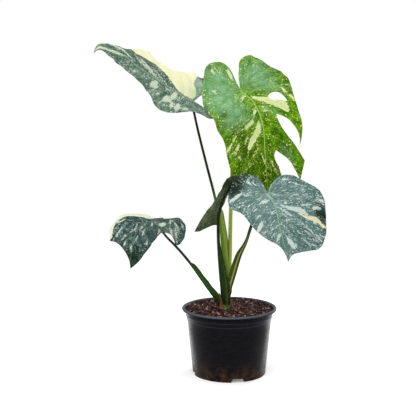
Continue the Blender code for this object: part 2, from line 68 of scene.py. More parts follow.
# A station is: place, upper-face direction, fold left and right of the midrib in degrees,
# curl left and right in degrees per millimetre. The second station is where the petiole joins.
# Right is the +y side of the flat outline. Outlines are x along the midrib and y across; a third
# value marks a corner. Reach is how far on each side the midrib's direction is averaged, wave the
# height and length of the ripples at the edge, and puff the swell between side veins. Cream and
# mint patches are lenses, given by their two ends and half width, or areas, given by their corners.
# Shade and sheen are soft spots of painted shade and painted sheen: place, reach, strength. On C the
# shade spots also give its dark green sectors, and on A the sheen spots also tint the cream near the base.
LEAVES = {
    "leaf_a": {
        "stations": [
            ((-24, 52, 413), (-.2, -.60, .78), 12, 24, -.4, -.10),
            ((-56, 42, 430), (-.2, -.62, .76), 8, 24, -.4, -.10),
            ((-105, 30, 458), (-.2, -.68, .70), -4, 20, -.4, -.10),
            ((-143, 20, 484), (-.2, -.68, .70), -8, 14, -.4, -.10),
            ((-169, 13, 503), (-.3, -.65, .70), -8, 10, -.5, -.10),
            ((-199, 6, 514), (-.5, -.60, .50), -8, 8, -.3, 0),
            ((-210, 2, 502), (-.8, -.60, .30), -4, 4, 0, 0),
        ],
        "outline": [
            (0, 0, 1), (-16, 4), (-29, 12), (-35, 28), (-27, 42), (-6, 45), (14, 54), (30, 68),
            (45, 75), (57, 65), (69, 50), (82, 37), (104, 28), (130, 27), (151, 27), (170, 13),
            (188, 0, 1), (168, -9), (148, -15), (128, -22), (118, -39), (104, -50), (86, -46),
            (66, -43), (46, -47), (28, -59), (8, -77), (-14, -78), (-34, -62), (-38, -46),
            (-25, -31), (-11, -22), (-5, -11),
        ],
        "hole": [],
        "reach": 40, "wave": (1.0, 34), "puff": 0.7, "veins": 8,
        "cream": [
            [(3, -2), (18, -1), (30, -3), (40, -10), (50, -16), (60, -24), (70, -28.5), (82, -29.5),
             (95, -28), (110, -26.5), (122, -24), (140, -32), (120, -70), (60, -86), (2, -90), (2, -70),
             (6, -52), (8, -40), (2, -26), (-1, -12)],
        ],
        "mint": [
            (26, 41, 29, 62, 4.0), (11, 41, 20, 50, 2.6), (35, 40, 37, 60, 2.6), (33, 6, 37, 34, 4.2),
            (43, 27, 48, 47, 4.2), (38, 34, 42, 46, 2.4), (58, 30, 62, 40, 1.6), (67, 5, 74, 27, 4.6),
            (64, 16, 69, 25, 2.8), (48, 9, 50, 17, 1.4), (105, 12, 109, 20, 1.8), (90, 6, 92, 16, 0.8),
            (20, 5, 21, 14, 1.2), (26, 14, 27, 22, 1.0), (-16, 22, -13, 30, 1.2), (52, 50, 54, 57, 1.2),
            (46, 56, 48, 60, 1.0), (70, -2, 108, -21, 2.2), (80, -4, 116, -18, 1.4), (52, -4, 80, -17, 1.0),
            (56, -3, 84, -13, 0.8), (97, -9, 112, -14, 0.9),
            [(126, -2), (136, 3), (146, 8), (158, 11), (170, 8), (187, 1), (176, 0), (168, 3), (158, 5),
             (148, 1), (138, -1)],
            [(112, -4), (128, -10), (140, -14), (152, -15), (172, -9), (187, -2), (172, -5), (160, -9),
             (148, -11), (138, -9), (124, -5)],
        ],
        "shade": [(90, -12, 20, .7), (66, -14, 14, .6), (150, -5, 12, .3), (-26, 14, 10, .8),
                  (110, -18, 12, .5), (56, 20, 16, .5), (90, 22, 16, .5)],
        "sheen": [(95, 12, 34, .35), (-2, -45, 18, 1.2), (0, -20, 14, 1.0), (18, -14, 18, .55),
                  (60, 45, 20, .25)],
    },
    "leaf_b": {
        "stations": [
            ((9, 55, 512), (0, -.85, .50), 5, 5, -.2, -.2),
            ((17, 20, 448), (-.05, -.80, .60), 5, 5, -.2, -.2),
            ((36, 4, 429), (0, -.80, .60), 5, 5, -.2, -.2),
            ((50, -10, 395), (0, -.90, .40), 8, 8, -.2, -.2),
            ((54, -18, 346), (0, -.97, .20), 8, 8, -.2, -.2),
            ((59, -12, 290), (0, -.99, .10), 8, 8, -.2, -.2),
            ((61, -2, 258), (0, -.96, -.20), 6, 6, 0, 0),
        ],
        "outline": [
            (0, 0, 1), (-19, 2), (-37, 5), (-54, 9), (-61, 20), (-56, 34), (-42, 49), (-24, 65),
            (-2, 76), (18, 75), (38, 66), (60, 60), (82, 60), (98, 58), (110, 54, 1), (96, 54),
            (82, 47), (70, 36), (63, 24, 1), (76, 26), (92, 34), (108, 46), (133, 60, 1),
            (163, 51, 1), (148, 45), (131, 36), (114, 17, 1), (122, 14), (142, 20), (165, 23),
            (186, 18), (211, 0, 1), (192, -9), (174, -15), (160, -26), (153, -41), (146, -51),
            (122, -58), (98, -61), (66, -70), (30, -69), (-4, -63), (-32, -52), (-47, -45),
            (-53, -32), (-50, -19), (-38, -9), (-20, -4),
        ],
        "hole": [(32, 27), (30, 33), (34, 44), (44, 48), (52, 49, 1), (46, 36), (39, 25)],
        "reach": 40, "wave": (0.8, 40), "puff": 1.3, "veins": 8,
        "cream": [
            [(20, 4), (30, 14), (36, 27), (45, 35), (50, 45), (56, 47), (62, 47), (65, 42), (59, 35),
             (52, 27), (44, 18), (36, 9), (28, 3)],
            [(63, -5), (72, -3.5), (84, -4), (90, -9), (98, -14), (106, -20), (117, -27), (104, -26),
             (93, -22), (82, -15), (72, -9)],
            [(61, -13), (66, -12), (72, -19), (77, -28), (70, -27), (64, -20)],
            (44, -2, 56, -10, 2.2), (13, 0, 23, -15, 1.8), (99, -39, 115, -46, 1.8), (84, -43, 100, -52, 1.4),
            (96, -49, 114, -59, 1.8), (90, -26, 99, -30, 1.4), (28, 52, 40, 54, 2.2), (22, 61, 28, 70, 1.3),
            (44, 57, 54, 61, 2.0), (-38, -13, -20, -8, 2.4), (130, 8, 150, 17, 1.1), (-12, -43, -5, -39, 1.5),
            (-40, -38, -34, -35, 1.7), (44, 6, 48, 12, 0.8), (52, 8, 56, 16, 0.8), (110, -11, 118, -17, 1.1),
            (122, -4, 134, -1, 0.9), (132, -22, 140, -30, 0.9), (112, -50, 122, -54, 1.2),
            (74, -31, 77, -35, 1.0), (120, -40, 124, -38, 0.9),
        ],
        "mint": [],
        "shade": [(150, 0, 40, .8), (105, 26, 24, .7), (34, 60, 16, .35), (110, -30, 26, 1.),
                  (80, -34, 22, .8), (35, -52, 10, .6), (-44, -30, 12, .35), (0, 40, 3, .6)],
        "sheen": [(-30, 30, 34, .75), (4, 38, 30, .7), (-28, -34, 34, .75), (6, -44, 34, .7),
                  (-2, -16, 22, .45), (36, -36, 28, .75), (62, -46, 22, .5), (58, -20, 16, .3),
                  (-12, 8, 16, .35), (24, 46, 16, .3), (50, 13, 10, .45), (128, 33, 14, .4),
                  (112, 30, 10, .3), (60, 24, 10, .3)],
    },
    "leaf_c": {
        "stations": [
            ((48, -35, 328), (0, -.85, .50), 5, 5, -.4, -.2),
            ((56, -58, 293), (0, -.85, .50), 5, 5, -.5, -.2),
            ((65, -70, 275), (0, -.88, .44), 5, 5, -.5, -.2),
            ((72, -78, 245), (0, -.95, .28), 5, 5, -.5, -.2),
            ((80, -80, 212), (0, -.97, .15), 5, 5, -.4, -.2),
            ((85, -78, 191), (0, -.97, .10), 5, 5, -.2, -.2),
        ],
        "outline": [
            (0, 0, 1), (-14, 11), (-22, 25), (-20, 40), (-8, 55), (8, 68), (28, 75), (48, 73),
            (70, 68), (90, 61), (102, 49), (102, 36), (101, 22), (102, 9), (111, 0, 1), (99, -1),
            (85, -7), (71, -22), (56, -34), (38, -43), (20, -51), (6, -62), (-12, -60),
            (-28, -50), (-38, -35), (-35, -20), (-25, -8),
        ],
        "hole": [],
        "reach": 40, "wave": (0.8, 34), "puff": 0.6, "veins": 6,
        "cream": [
            [(40, 28), (48, 38), (52, 46), (55, 55), (60, 60), (67, 63), (76, 69), (73, 62), (64, 56),
             (60, 49), (54, 41), (46, 31)],
            (50, -30, 56, -33, 1.2),
        ],
        "mint": [
            [(22, 6), (29, 14), (33, 25), (37, 35), (42, 42), (48, 44), (53, 47), (48, 38), (42, 29),
             (36, 19), (28, 9)],
            (28, 4, 44, 20, 1.1), (62, 35, 88, 55, 0.9), (70, 34, 78, 42, 0.8), (74, 7, 94, 14, 3.0),
            (66, -1, 76, -9, 2.0), (43, -24, 56, -33, 3.2), (14, -5, 15, -18, 2.2), (-10, -36, -3, -63, 2.6),
            (-26, -25, -19, -22, 1.5), (33, 66, 38, 73, 2.4), (43, 54, 46, 65, 2.2), (34, 36, 37, 54, 1.3),
            (-16, 24, -13, 33, 1.7), (-5, 43, 0, 48, 1.2), (32, -24, 35, -31, 1.5), (22, -28, 24, -32, 1.2),
            (57, -10, 60, -15, 1.0), (58, -22, 62, -26, 1.0), (2, 3, 10, 13, 0.9), (18, 6, 20, 14, 0.7),
            (-5, -34, -2, -26, 1.1), (22, 32, 24, 38, 0.9), (84, 30, 90, 36, 0.8), (96, 44, 102, 47, 0.9),
            (64, 20, 72, 26, 0.7), (50, 4, 60, 8, 0.7), (-13, 10, -3, 2, 0.9), (3, -3, 12, 1, 0.9),
        ],
        "shade": [(-30, -42, 14, 3.4), (-20, -47, 13, 3.0), (-24, -57, 12, 2.6), (-34, -26, 8, 1.8),
                  (47, 62, 9, 2.1), (57, 67, 11, 2.9), (70, 69, 9, 1.6), (42, 66, 6, 1.2)],
        "sheen": [(30, 20, 60, .35), (30, -20, 40, .35)],
    },
    "leaf_d": {
        "stations": [
            ((-76, -30, 234), (.2, -.75, .60), -6, -10, -1.2, -.4),
            ((-104, -40, 238), (0, -.75, .65), -8, -10, -1.25, -.3),
            ((-120, -46, 248), (-.2, -.80, .60), -12, -10, -1.1, -.3),
            ((-138, -56, 240), (-.3, -.85, .40), -6, -5, -.6, -.2),
            ((-147, -64, 212), (-.2, -.95, .15), 0, 0, -.4, 0),
            ((-151, -66, 178), (-.1, -.99, .10), 0, 0, 0, 0),
        ],
        "outline": [
            (0, -17, 1), (-12, -28), (-28, -32), (-38, -16), (-39, 4), (-36, 18), (-28, 26),
            (-22, 18), (-14, 9), (0, 9), (12, 20), (28, 31), (58, 29), (78, 21), (94, 13),
            (107, 1, 1), (94, -2), (81, -13), (75, -26), (75, -38, 1), (60, -47), (34, -52), (10, -50),
            (-6, -42), (-10, -30), (-4, -22),
        ],
        "hole": [],
        "reach": 45, "wave": (1.0, 30), "puff": 0.6, "veins": 6,
        "cream": [
            [(-2, -60), (1, -36), (5, -24), (11, -13), (18, -7), (24, -9), (30, -19), (35, -28),
             (39, -37), (45, -43), (52, -45), (60, -41), (72, -37), (76, -42), (66, -60)],
            (44, -33, 53, -43, 1.5),
        ],
        "mint": [
            (-8, -12, 3, -2, 3.6), (4, 6, 14, 19, 1.5), (41, 10, 49, 12, 1.1), (54, 5, 66, 2, 0.9),
            (46, -3, 55, -8, 1.2), (35, 3, 45, 5, 0.8), (50, 22, 66, 21, 1.3), (19, 4, 22, 7, 1.2),
            (-27, 20, -22, 0, 1.3), (-18, 12, -14, 0, 1.5), (-28, 4, -20, -20, 1.3), (-35, -2, -33, -12, 1.4),
            (-14, -8, -18, -24, 1.2), (52, -27, 72, -33, 1.1), (46, -34, 66, -39, 0.8), (74, -2, 80, -1, 1.3),
            (71, -12, 75, -13, 1.2), (62, -15, 68, -19, 1.0), (60, -27, 68, -29, 0.8), (40, -6, 45, -4, 0.8),
        ],
        "shade": [(102, 2, 22, 2.8), (84, 8, 16, 1.5), (42, -33, 5, 1.8), (47, -41, 4, 1.4),
                  (66, -37, 8, 1.0), (-34, -20, 9, .8), (-30, 6, 6, .7), (30, 24, 16, .25),
                  (-8, -34, 10, .5)],
        "sheen": [(-22, 4, 14, .6), (-8, 4, 10, .6), (20, 14, 14, .2), (44, -38, 4, .5)],
    },
    "leaf_e": {
        "stations": [
            ((25, -13, 298), (-.40, .60, .70), 18, 12, -.1, -2.6),
            ((8, -16, 303), (-.46, .78, .40), 20, 12, -.1, -2.8),
            ((1.5, -17, 297.5), (-.54, .72, .41), 25, 18, -.1, -2.1),
            ((-6, -18, 289), (-.60, .66, .42), 28, 14, -.1, -2.5),
            ((-20, -19, 267), (-.60, .70, .35), 24, -2, -.1, -1.6),
            ((-35, -21, 247), (-.55, .75, .35), 8, -8, -.2, -.5),
            ((-53, -25, 231), (-.50, .80, .35), 0, 0, 0, 0),
        ],
        "outline": [
            (0, 0, 1), (-8, 5), (-14, 11), (-13, 18), (-4, 25), (6, 29), (14, 27), (22, 24),
            (32, 21), (44, 20), (57, 20), (74, 14), (88, 6), (98, 0, 1), (92, -6), (85, -9),
            (77, -14), (71, -20), (68, -27, 1), (60, -27), (44, -24), (20, -23), (2, -23), (-10, -18),
            (-13, -10), (-7, -4),
        ],
        "hole": [],
        "reach": 18, "wave": (0.8, 28), "puff": 0.5, "veins": 6,
        "cream": [],
        "mint": [],
        "shade": [(54, -18, 15, 1.5), (70, -14, 12, 1.2), (2, 14, 14, 1.2), (34, -2, 6, .6), (90, -3, 6, .5)],
        "sheen": [(14, -16, 14, 1.1), (28, -16, 10, .9), (30, 12, 12, .5), (50, 12, 13, .5), (72, 6, 12, .4)],
    },
}

# A petiole is: points from the stem up towards its blade, radii at those points and at the joint,
# the shares of its length where the sheath starts and ends and over which it fades out at its end,
# how far the sheath's walls stand out, the half width of the channel between them and the way that
# it opens.
PETIOLES = {
    "petiole_a": {
        "path": [(-7, -6, 112), (-7, -1.7, 147), (-8.8, 8.5, 180), (-13.3, 26, 231), (-22, 39, 274),
                 (-36, 49, 328), (-49, 50, 380), (-56, 46, 412)],
        "radius": [2.4, 2.4, 2.4, 2.3, 2.2, 2.1, 2.0, 1.8, 1.4],
        "starts": -0.02, "sheath": 0.50, "taper": 0.06, "wall": 7.6, "channel": 3.9, "open": (1, -.25, .1),
    },
    "petiole_b": {
        "path": [(-2, -6, 112), (-1, -1.7, 147), (1, 8.5, 180), (2, 24, 225), (3, 34, 259), (5, 40, 320),
                 (5, 40, 384), (7, 34, 425)],
        "radius": [2.7, 2.8, 3.0, 3.1, 3.0, 2.8, 2.6, 2.4, 1.5],
        "starts": 1.0, "sheath": 0.0, "taper": 0.06, "wall": 0.0, "channel": 2.0, "open": (-.5, -.8, 0),
    },
    "petiole_c": {
        "path": [(-2, -12, 112), (1, -13.7, 137), (7, -17.2, 159), (16, -26, 193), (24, -33.3, 213),
                 (32, -42, 240), (40, -48, 261), (49, -53, 281)],
        "radius": [2.7, 2.8, 2.7, 2.6, 2.4, 2.3, 2.2, 2.0, 1.4],
        "starts": 0.12, "sheath": 0.66, "taper": 0.30, "wall": 5.4, "channel": 2.0, "open": (-.8, .3, .5),
    },
    "petiole_d": {
        "path": [(-9, -11, 110), (-16, -13.9, 117), (-27, -19.2, 131), (-42, -25, 153), (-59, -28.8, 178),
                 (-73, -31.6, 196), (-85, -34.5, 210), (-99, -36, 225)],
        "radius": [3.0, 2.9, 2.6, 2.3, 2.1, 2.0, 1.9, 1.7, 1.4],
        "starts": -0.08, "sheath": 0.56, "taper": 0.06, "wall": 4.6, "channel": 1.9, "open": (.7, .1, .7),
    },
    "petiole_e": {
        "path": [(-10, -13, 112), (-12, -14.5, 140), (-14.5, -13.9, 169), (-17, -15.7, 207), (-18, -20, 234),
                 (-17, -27, 255), (-11, -31, 277), (-4, -28, 291), (3, -22, 300)],
        "radius": [2.6, 2.7, 2.7, 2.6, 2.4, 2.2, 2.0, 1.8, 1.7, 1.3],
        "starts": -0.04, "sheath": 0.56, "taper": 0.34, "wall": 7.0, "channel": 1.7, "open": (1, -.45, 0),
    },
}

# The dry sheath's strip, from its foot up: inner middle point, half width, how far its edges bow back
# round the stem, all in millimetres, and the way it faces in degrees.
SCRAP = [
    (-12.6, -15.5, 105.3, 4.6, 1.5, 225), (-12.8, -16.1, 108.8, 4, 1.2, 228),
    (-12.9, -17.1, 112.5, 3, 0.8, 238), (-13.3, -18.3, 118, 2.3, 0.5, 250),
    (-14.4, -19.1, 124, 1.8, 0.3, 255), (-15.4, -19.1, 129, 1.3, 0.2, 255),
    (-15.9, -18.6, 133.5, 0.7, 0.1, 255),
]

# Finishes, as colours on screen from 0 to 255. Each row holds leaves A to E.
LEAF_COLOURS = {
    "dark": ((36, 76, 56), (44, 98, 0), (56, 90, 84), (12, 40, 38), (28, 46, 14)),
    "light": ((76, 118, 94), (102, 158, 0), (92, 126, 118), (46, 80, 78), (72, 92, 50)),
    # This row is the colour of the painted sheen, the pale blue-grey of sky reflected on the glossy blades.
    "painted_sheen": ((160, 190, 172), (130, 182, 144), (118, 150, 144), (128, 150, 132), (166, 178, 152)),
    "dust": ((150, 178, 156), (136, 184, 22), (146, 174, 168), (120, 150, 140), (122, 140, 104)),
    "cream": ((255, 252, 204), (222, 232, 168), (240, 232, 180), (232, 236, 208), (226, 226, 186)),
    "mint": ((206, 220, 194), (200, 228, 190), (206, 222, 212), (204, 218, 200), (176, 188, 158)),
    "fleck": ((224, 238, 222), (226, 238, 112), (230, 243, 236), (190, 210, 196), (150, 168, 128)),
    "midrib": ((160, 184, 140), (160, 204, 92), (146, 182, 150), (96, 128, 112), (30, 46, 18)),
    "vein": ((128, 158, 134), (142, 188, 58), (116, 148, 138), (84, 116, 106), (98, 116, 80)),
    "under": ((104, 122, 92), (112, 148, 40), (104, 122, 92), (96, 108, 84), (80, 96, 62)),
    # This row is the near-black green of the painted shade, and of C's dark green sectors.
    "dark_sector_and_shade": ((16, 30, 20), (20, 46, 0), (2, 26, 4), (10, 32, 4), (8, 20, 0)),
}
# How far dust thins the patches, how strong dust, vein lines and the painted shade in the creases beside
# the side veins are, how glossy the blade is and how far its underside hides the markings.
LEAF_SHARES = {
    "thin": (.1, .4, .15, .1, .1), "dusting": (.5, .32, .5, .32, .45), "lines": (.25, .42, .3, .3, .45),
    "gloss": (.10, .03, .09, .08, .06), "veil": (.72, .72, .72, .72, .30),
}
# Three layers of specks for each leaf: stretch along and across the side veins, share and size.
LEAF_SPECKS = (
    (((18, 11), .02, .40), ((40, 14), .13, .42), ((72, 24), .22, .42)),
    (((22, 9), .015, .40), ((38, 13), .085, .42), ((76, 25), .14, .42)),
    (((13, 10), .035, .41), ((22, 17), .12, .44), ((44, 30), .20, .43)),
    (((18, 14), .02, .36), ((34, 28), .07, .42), ((60, 44), .15, .42)),
    (((18, 12), .02, .40), ((40, 18), .10, .42), ((80, 30), .16, .42)),
)
# A stalk's colours low and high, where it turns from one to the other, the colours of its stripes
# and of its pale band, and the band's place round the stalk, half width and strength. On stalk A the pale
# band is a painted highlight down its lit side.
STALK_TONES = {
    "petiole_a": ((90, 124, 22), (4, 14, 0), .46, (66, 100, 14), (168, 192, 80), (.36, .42, 1.)),
    "petiole_b": ((168, 188, 72), (126, 152, 30), .5, (120, 146, 30), (192, 206, 110), (.36, .10, .7)),
    "petiole_c": ((26, 50, 8), (20, 38, 8), .6, (58, 82, 24), (156, 152, 60), (.735, .05, .9)),
    "petiole_d": ((26, 56, 12), (8, 24, 4), .5, (50, 84, 26), (70, 104, 40), (.72, .08, .3)),
    "petiole_e": ((16, 42, 8), (6, 16, 0), .5, (34, 66, 14), (78, 116, 50), (.97, .10, .8)),
}


def shown(colour):
    """Linear colour, with full alpha, that the studio light shows as this colour on screen."""
    c = np.array(colour) / 255
    linear = np.where(c <= 0.04045, c / 12.92, ((c + 0.055) / 1.055)**2.4)
    return (*(linear / LIGHT).tolist(), 1.0)


class Shading:
    """Adds nodes to a shader tree. Each input is a value or a socket to link from."""

    def __init__(self, tree):
        self.tree = tree

    def feed(self, socket, value):
        if isinstance(value, bpy.types.NodeSocket):
            self.tree.links.new(value, socket)
        else:
            socket.default_value = value

    def node(self, kind, inputs, **settings):
        """Add a node and give its outputs."""
        made = self.tree.nodes.new("ShaderNode" + kind)
        for name, value in settings.items():
            setattr(made, name, value)
        for name, value in inputs.items():
            self.feed(made.inputs[name], value)
        return made.outputs

    def group(self, name, inputs):
        return self.node("Group", inputs, node_tree=bpy.data.node_groups[name])

    def maths(self, operation, *values, clamp=False):
        return self.node("Math", dict(enumerate(values)), operation=operation, use_clamp=clamp)[0]

    def times(self, first, *others):
        for value in others:
            first = self.maths("MULTIPLY", first, value)
        return first

    def ramp(self, value, low, high, out=(0.0, 1.0)):
        """Smooth step from low to high."""
        return self.node("MapRange", {"Value": value, "From Min": low, "From Max": high, "To Min": out[0],
                                      "To Max": out[1]}, interpolation_type="SMOOTHSTEP")[0]

    def off(self, value, middle):
        """How far the value is from the middle."""
        return self.maths("ABSOLUTE", self.maths("SUBTRACT", value, middle))

    def mix(self, share, first, second):
        return self.node("Mix", {0: share, 6: first, 7: second}, data_type="RGBA")[2]

    def stretched(self, vector, scale):
        return self.node("VectorMath", {0: vector, 1: scale}, operation="MULTIPLY")[0]

    def noise(self, vector, scale, detail, roughness=0.5, space="3D"):
        return self.node("TexNoise", {"Vector": vector, "Scale": scale, "Detail": detail,
                                      "Roughness": roughness}, noise_dimensions=space)

    def streaks(self, vector, stretch, detail, roughness=0.5):
        """Flat noise, stretched."""
        return self.noise(self.stretched(vector, stretch), 1.0, detail, roughness, "2D")[0]

    def place(self):
        return self.node("TexCoord", {})["Object"]

    def height(self):
        return self.node("SeparateXYZ", {0: self.place()})[2]

    def field(self, name):
        return self.node("Attribute", {}, attribute_name=name)["Fac"]


class Finish(Shading):
    """Material whose Principled shader's inputs are put in place by name."""

    def __init__(self, name, **constants):
        self.material = bpy.data.materials.new(name)
        self.material.use_nodes = True
        super().__init__(self.material.node_tree)
        self.put(**constants)

    def put(self, **values):
        for label, value in values.items():
            self.feed(self.tree.nodes["Principled BSDF"].inputs[label.replace("_", " ")], value)

    def bump(self, height, depth, strength=1.0):
        self.put(Normal=self.node("Bump", {"Height": height, "Distance": depth, "Strength": strength})[0])

    def dress(self, piece, colour):
        """Wire up the colour and make this the piece's only finish."""
        self.put(Base_Color=colour)
        piece.data.materials.clear()
        piece.data.materials.append(self.material)

    def grain(self, scale, detail, stretch=(1, 1, 1), depth=0.0006):
        """Bump of rough grain over the piece, whose height is given."""
        height = self.group("Rough grain", {"Vector": self.place(), "Stretch": stretch, "Scale": scale,
                                            "Detail": detail})[0]
        self.bump(height, depth)
        return height


def new_group(name, inputs, *outputs):
    """Node group of masks. An input is a number, or a vector where its value is a tuple or None."""
    tree = bpy.data.node_groups.new(name, "ShaderNodeTree")
    for label, value in inputs.items():
        kind = "NodeSocketFloat" if isinstance(value, float) else "NodeSocketVector"
        socket = tree.interface.new_socket(label, in_out="INPUT", socket_type=kind)
        if value is not None:
            socket.default_value = value
    for label in outputs:
        tree.interface.new_socket(label, in_out="OUTPUT", socket_type="NodeSocketFloat")
    return Shading(tree), tree.nodes.new("NodeGroupInput").outputs, tree.nodes.new("NodeGroupOutput").inputs


def grain_group():
    """Uneven height of a rough surface, finer along one way than another."""
    skin, given, put = new_group("Rough grain", {"Vector": None, "Stretch": (1, 1, 1), "Scale": 300.0,
                                                 "Detail": 4.0, "Roughness": 0.5}, "Height")
    uneven = skin.stretched(given["Vector"], given["Stretch"])
    skin.feed(put["Height"], skin.noise(uneven, given["Scale"], given["Detail"], given["Roughness"])[0])


def speck_group():
    """Specks of uneven size in the cells of a stretched pattern."""
    skin, given, put = new_group("Specks", {"Vector": None, "Stretch": (10, 10, 10), "Share": 0.2,
                                            "Size": 0.3}, "Mask")
    cellwise = skin.stretched(given["Vector"], given["Stretch"])
    wobble = skin.stretched(skin.noise(cellwise, scale=1.1, detail=1.0, space="2D")["Color"], (.5, .5, .5))
    place = skin.node("VectorMath", {0: cellwise, 1: wobble}, operation="ADD")[0]
    cells = skin.node("TexVoronoi", {"Vector": place, "Scale": 1.0}, voronoi_dimensions="2D")
    drawn = skin.node("SeparateColor", {"Color": cells["Color"]})
    drift = skin.streaks(given["Vector"], (5, 1.3, 1), detail=2.0)
    density = skin.times(given["Share"], skin.ramp(drift, 0.36, 0.64, (0.4, 1.6)))
    there = skin.maths("LESS_THAN", drawn[0], density)
    reach = skin.times(given["Size"], skin.maths("ADD", drawn[1], 0.35))
    inside = skin.maths("SUBTRACT", reach, cells["Distance"])
    skin.feed(put["Mask"], skin.times(there, skin.ramp(inside, 0.0, 0.08)))


def vein_group():
    """Lines of the side veins, their fine branches and the midrib, and how far a place is from a vein."""
    line, rib = 0.5, 1.35
    skin, given, put = new_group("Veins", {"Flat": None, "Grain": None, "Spacing": 12.0, "Length": 1.5},
                                 "Side", "Fine", "Midrib", "Between")
    number = skin.node("SeparateXYZ", {0: given["Grain"]})[1]
    flat = skin.node("SeparateXYZ", {0: given["Flat"]})
    saw = skin.maths("PINGPONG", number, 0.5)
    faint = skin.maths("PINGPONG", skin.times(number, 5.0), 0.5)
    ratio = skin.maths("DIVIDE", flat[0], given["Length"])
    taper = skin.maths("MAXIMUM", skin.maths("SUBTRACT", 1.05, ratio), 0.12)
    off = skin.maths("DIVIDE", skin.times(skin.maths("ABSOLUTE", flat[1]), MAP_UNIT), taper)
    skin.feed(put["Side"], skin.ramp(skin.times(saw, given["Spacing"]), 1.6 * line, 0.5 * line))
    skin.feed(put["Fine"], skin.ramp(faint, 0.16, 0.02))
    start = skin.ramp(flat[0], -0.01, 0.01)
    skin.feed(put["Midrib"], skin.times(start, skin.ramp(off, 1.25 * rib, 0.6 * rib)))
    skin.feed(put["Between"], skin.times(saw, 2.0))


def mottle_group():
    """Streaked marbling that runs along the side veins, from 0 to 1."""
    skin, given, put = new_group("Mottle", {"Grain": None}, "Broad", "Dust")
    broad = skin.streaks(given["Grain"], (9.0, 2.2, 1.0), detail=4.0, roughness=0.6)
    dust = skin.streaks(given["Grain"], (60.0, 10.0, 1.0), detail=3.0, roughness=0.75)
    skin.feed(put["Broad"], skin.ramp(broad, 0.34, 0.66))
    skin.feed(put["Dust"], skin.ramp(dust, 0.52, 0.66))


def patch_group():
    """Hard-edged patch from its depth field in millimetres, frayed along the side veins."""
    fray = 6.0
    skin, given, put = new_group("Patch", {"Depth": 0.0, "Grain": None}, "Mask")
    torn = skin.streaks(given["Grain"], (22.0, 11.0, 1.0), detail=4.0, roughness=0.7)
    torn = skin.maths("SUBTRACT", torn, 0.5)
    skin.feed(put["Mask"], skin.ramp(skin.maths("MULTIPLY_ADD", torn, fray, given["Depth"]), -0.25, 0.35))


def leaf_finish(name, length, upper):
    """Finish of a blade's upper side or underside."""
    leaf = list(LEAVES).index(name)
    tone = {key: shown(row[leaf]) for key, row in LEAF_COLOURS.items()}
    share = {key: row[leaf] for key, row in LEAF_SHARES.items()}
    lines, patchy = share["lines"], 0.2
    skin = Finish(name + ("_upper" if upper else "_under"), Specular_IOR_Level=share["gloss"])
    flat, grain = [skin.node("UVMap", {}, uv_map=key)[0] for key in ("flat", "grain")]
    field = {key: skin.field(key) for key in ("cream", "mint", "shade", "sheen", "spacing")}
    veins = skin.group("Veins", {"Flat": flat, "Grain": grain, "Spacing": field["spacing"],
                                 "Length": length / MAP_UNIT})
    broad, dust = skin.group("Mottle", {"Grain": grain})

    colour = skin.mix(broad, tone["dark"], tone["light"])
    # Painted sheen: the sheen spots, broken up by the mottle, turn the colour towards the pale blue-grey of
    # reflected sky.
    broken = skin.ramp(skin.maths("ADD", broad, skin.times(dust, 0.6)), 0.3, 1.2, (1 - patchy, 1 + patchy))
    painted_sheen = skin.maths("MULTIPLY", skin.times(field["sheen"], broken), 0.9, clamp=True)
    colour = skin.mix(painted_sheen, colour, tone["painted_sheen"])
    # Painted shade in the creases: beside each side vein the colour is darkened towards the blade's dark
    # green, less under the painted sheen.
    crease = skin.ramp(veins["Between"], 0.5, 0.0, (0, 0.8 * lines))
    crease = skin.times(crease, skin.ramp(painted_sheen, 0, 0.8, (1, 0.8)))
    colour = skin.mix(crease, colour, skin.mix(painted_sheen, tone["dark"], tone["light"]))
    colour = skin.mix(skin.times(dust, share["dusting"]), colour, tone["dust"])
    # Painted shade: the shade spots darken the blade towards a near-black green where it turns from the light
    # or lies in another leaf's shadow; on C they also give its dark green sectors.
    colour = skin.mix(skin.maths("EXPONENT", skin.times(field["shade"], -0.85)), tone["dark_sector_and_shade"], colour)
    for vein, strength in (("Fine", 0.3 * lines), ("Side", lines)):
        colour = skin.mix(skin.times(veins[vein], strength), colour, tone["vein"])

    sown = [skin.group("Specks", {"Vector": grain, "Stretch": (*stretch, 1), "Share": cells, "Size": size})[0]
            for stretch, cells, size in LEAF_SPECKS[leaf]]
    sown = skin.maths("MAXIMUM", sown[0], skin.maths("MAXIMUM", sown[1], sown[2]))
    # Fewer specks show in the painted shade.
    sown = skin.times(sown, skin.ramp(field["shade"], 2.0, 0.4, (0.35, 0.95)))
    # Specks under the painted sheen are tinted mint.
    colour = skin.mix(sown, colour, skin.mix(painted_sheen, tone["fleck"], tone["mint"]))
    for key in ("mint", "cream"):
        patch = skin.group("Patch", {"Depth": field[key], "Grain": grain})[0]
        # Under the painted sheen the patches are tinted towards mint.
        fill = skin.mix(skin.times(painted_sheen, 0.6), tone[key], tone["mint"])
        fill = skin.mix(skin.times(veins["Fine"], 0.10), fill, tone["vein"])
        fill = skin.mix(skin.times(dust, 0.10), fill, tone["dust"])
        thin = skin.ramp(dust, 0.40, 0.62, (1.0, 1.0 - share["thin"]))
        colour = skin.mix(skin.times(patch, thin), colour, fill)
    colour = skin.mix(skin.times(veins["Midrib"], 0.85), colour, tone["midrib"])
    if not upper:
        colour = skin.mix(share["veil"], colour, tone["under"])
        pale = shown([min(255, 1.15 * c) for c in LEAF_COLOURS["under"][leaf]])
        colour = skin.mix(skin.times(veins["Side"], 0.4), colour, pale)

    skin.put(Base_Color=colour, Roughness=skin.ramp(broad, 0, 1, (0.36, 0.44) if upper else (0.56, 0.64)))
    height = skin.maths("SUBTRACT", skin.times(dust, 0.08), skin.times(veins["Side"], 0.8 if upper else -0.8))
    skin.bump(skin.maths("SUBTRACT", height, skin.times(veins["Fine"], 0.14)), depth=0.0004)
    return skin.material


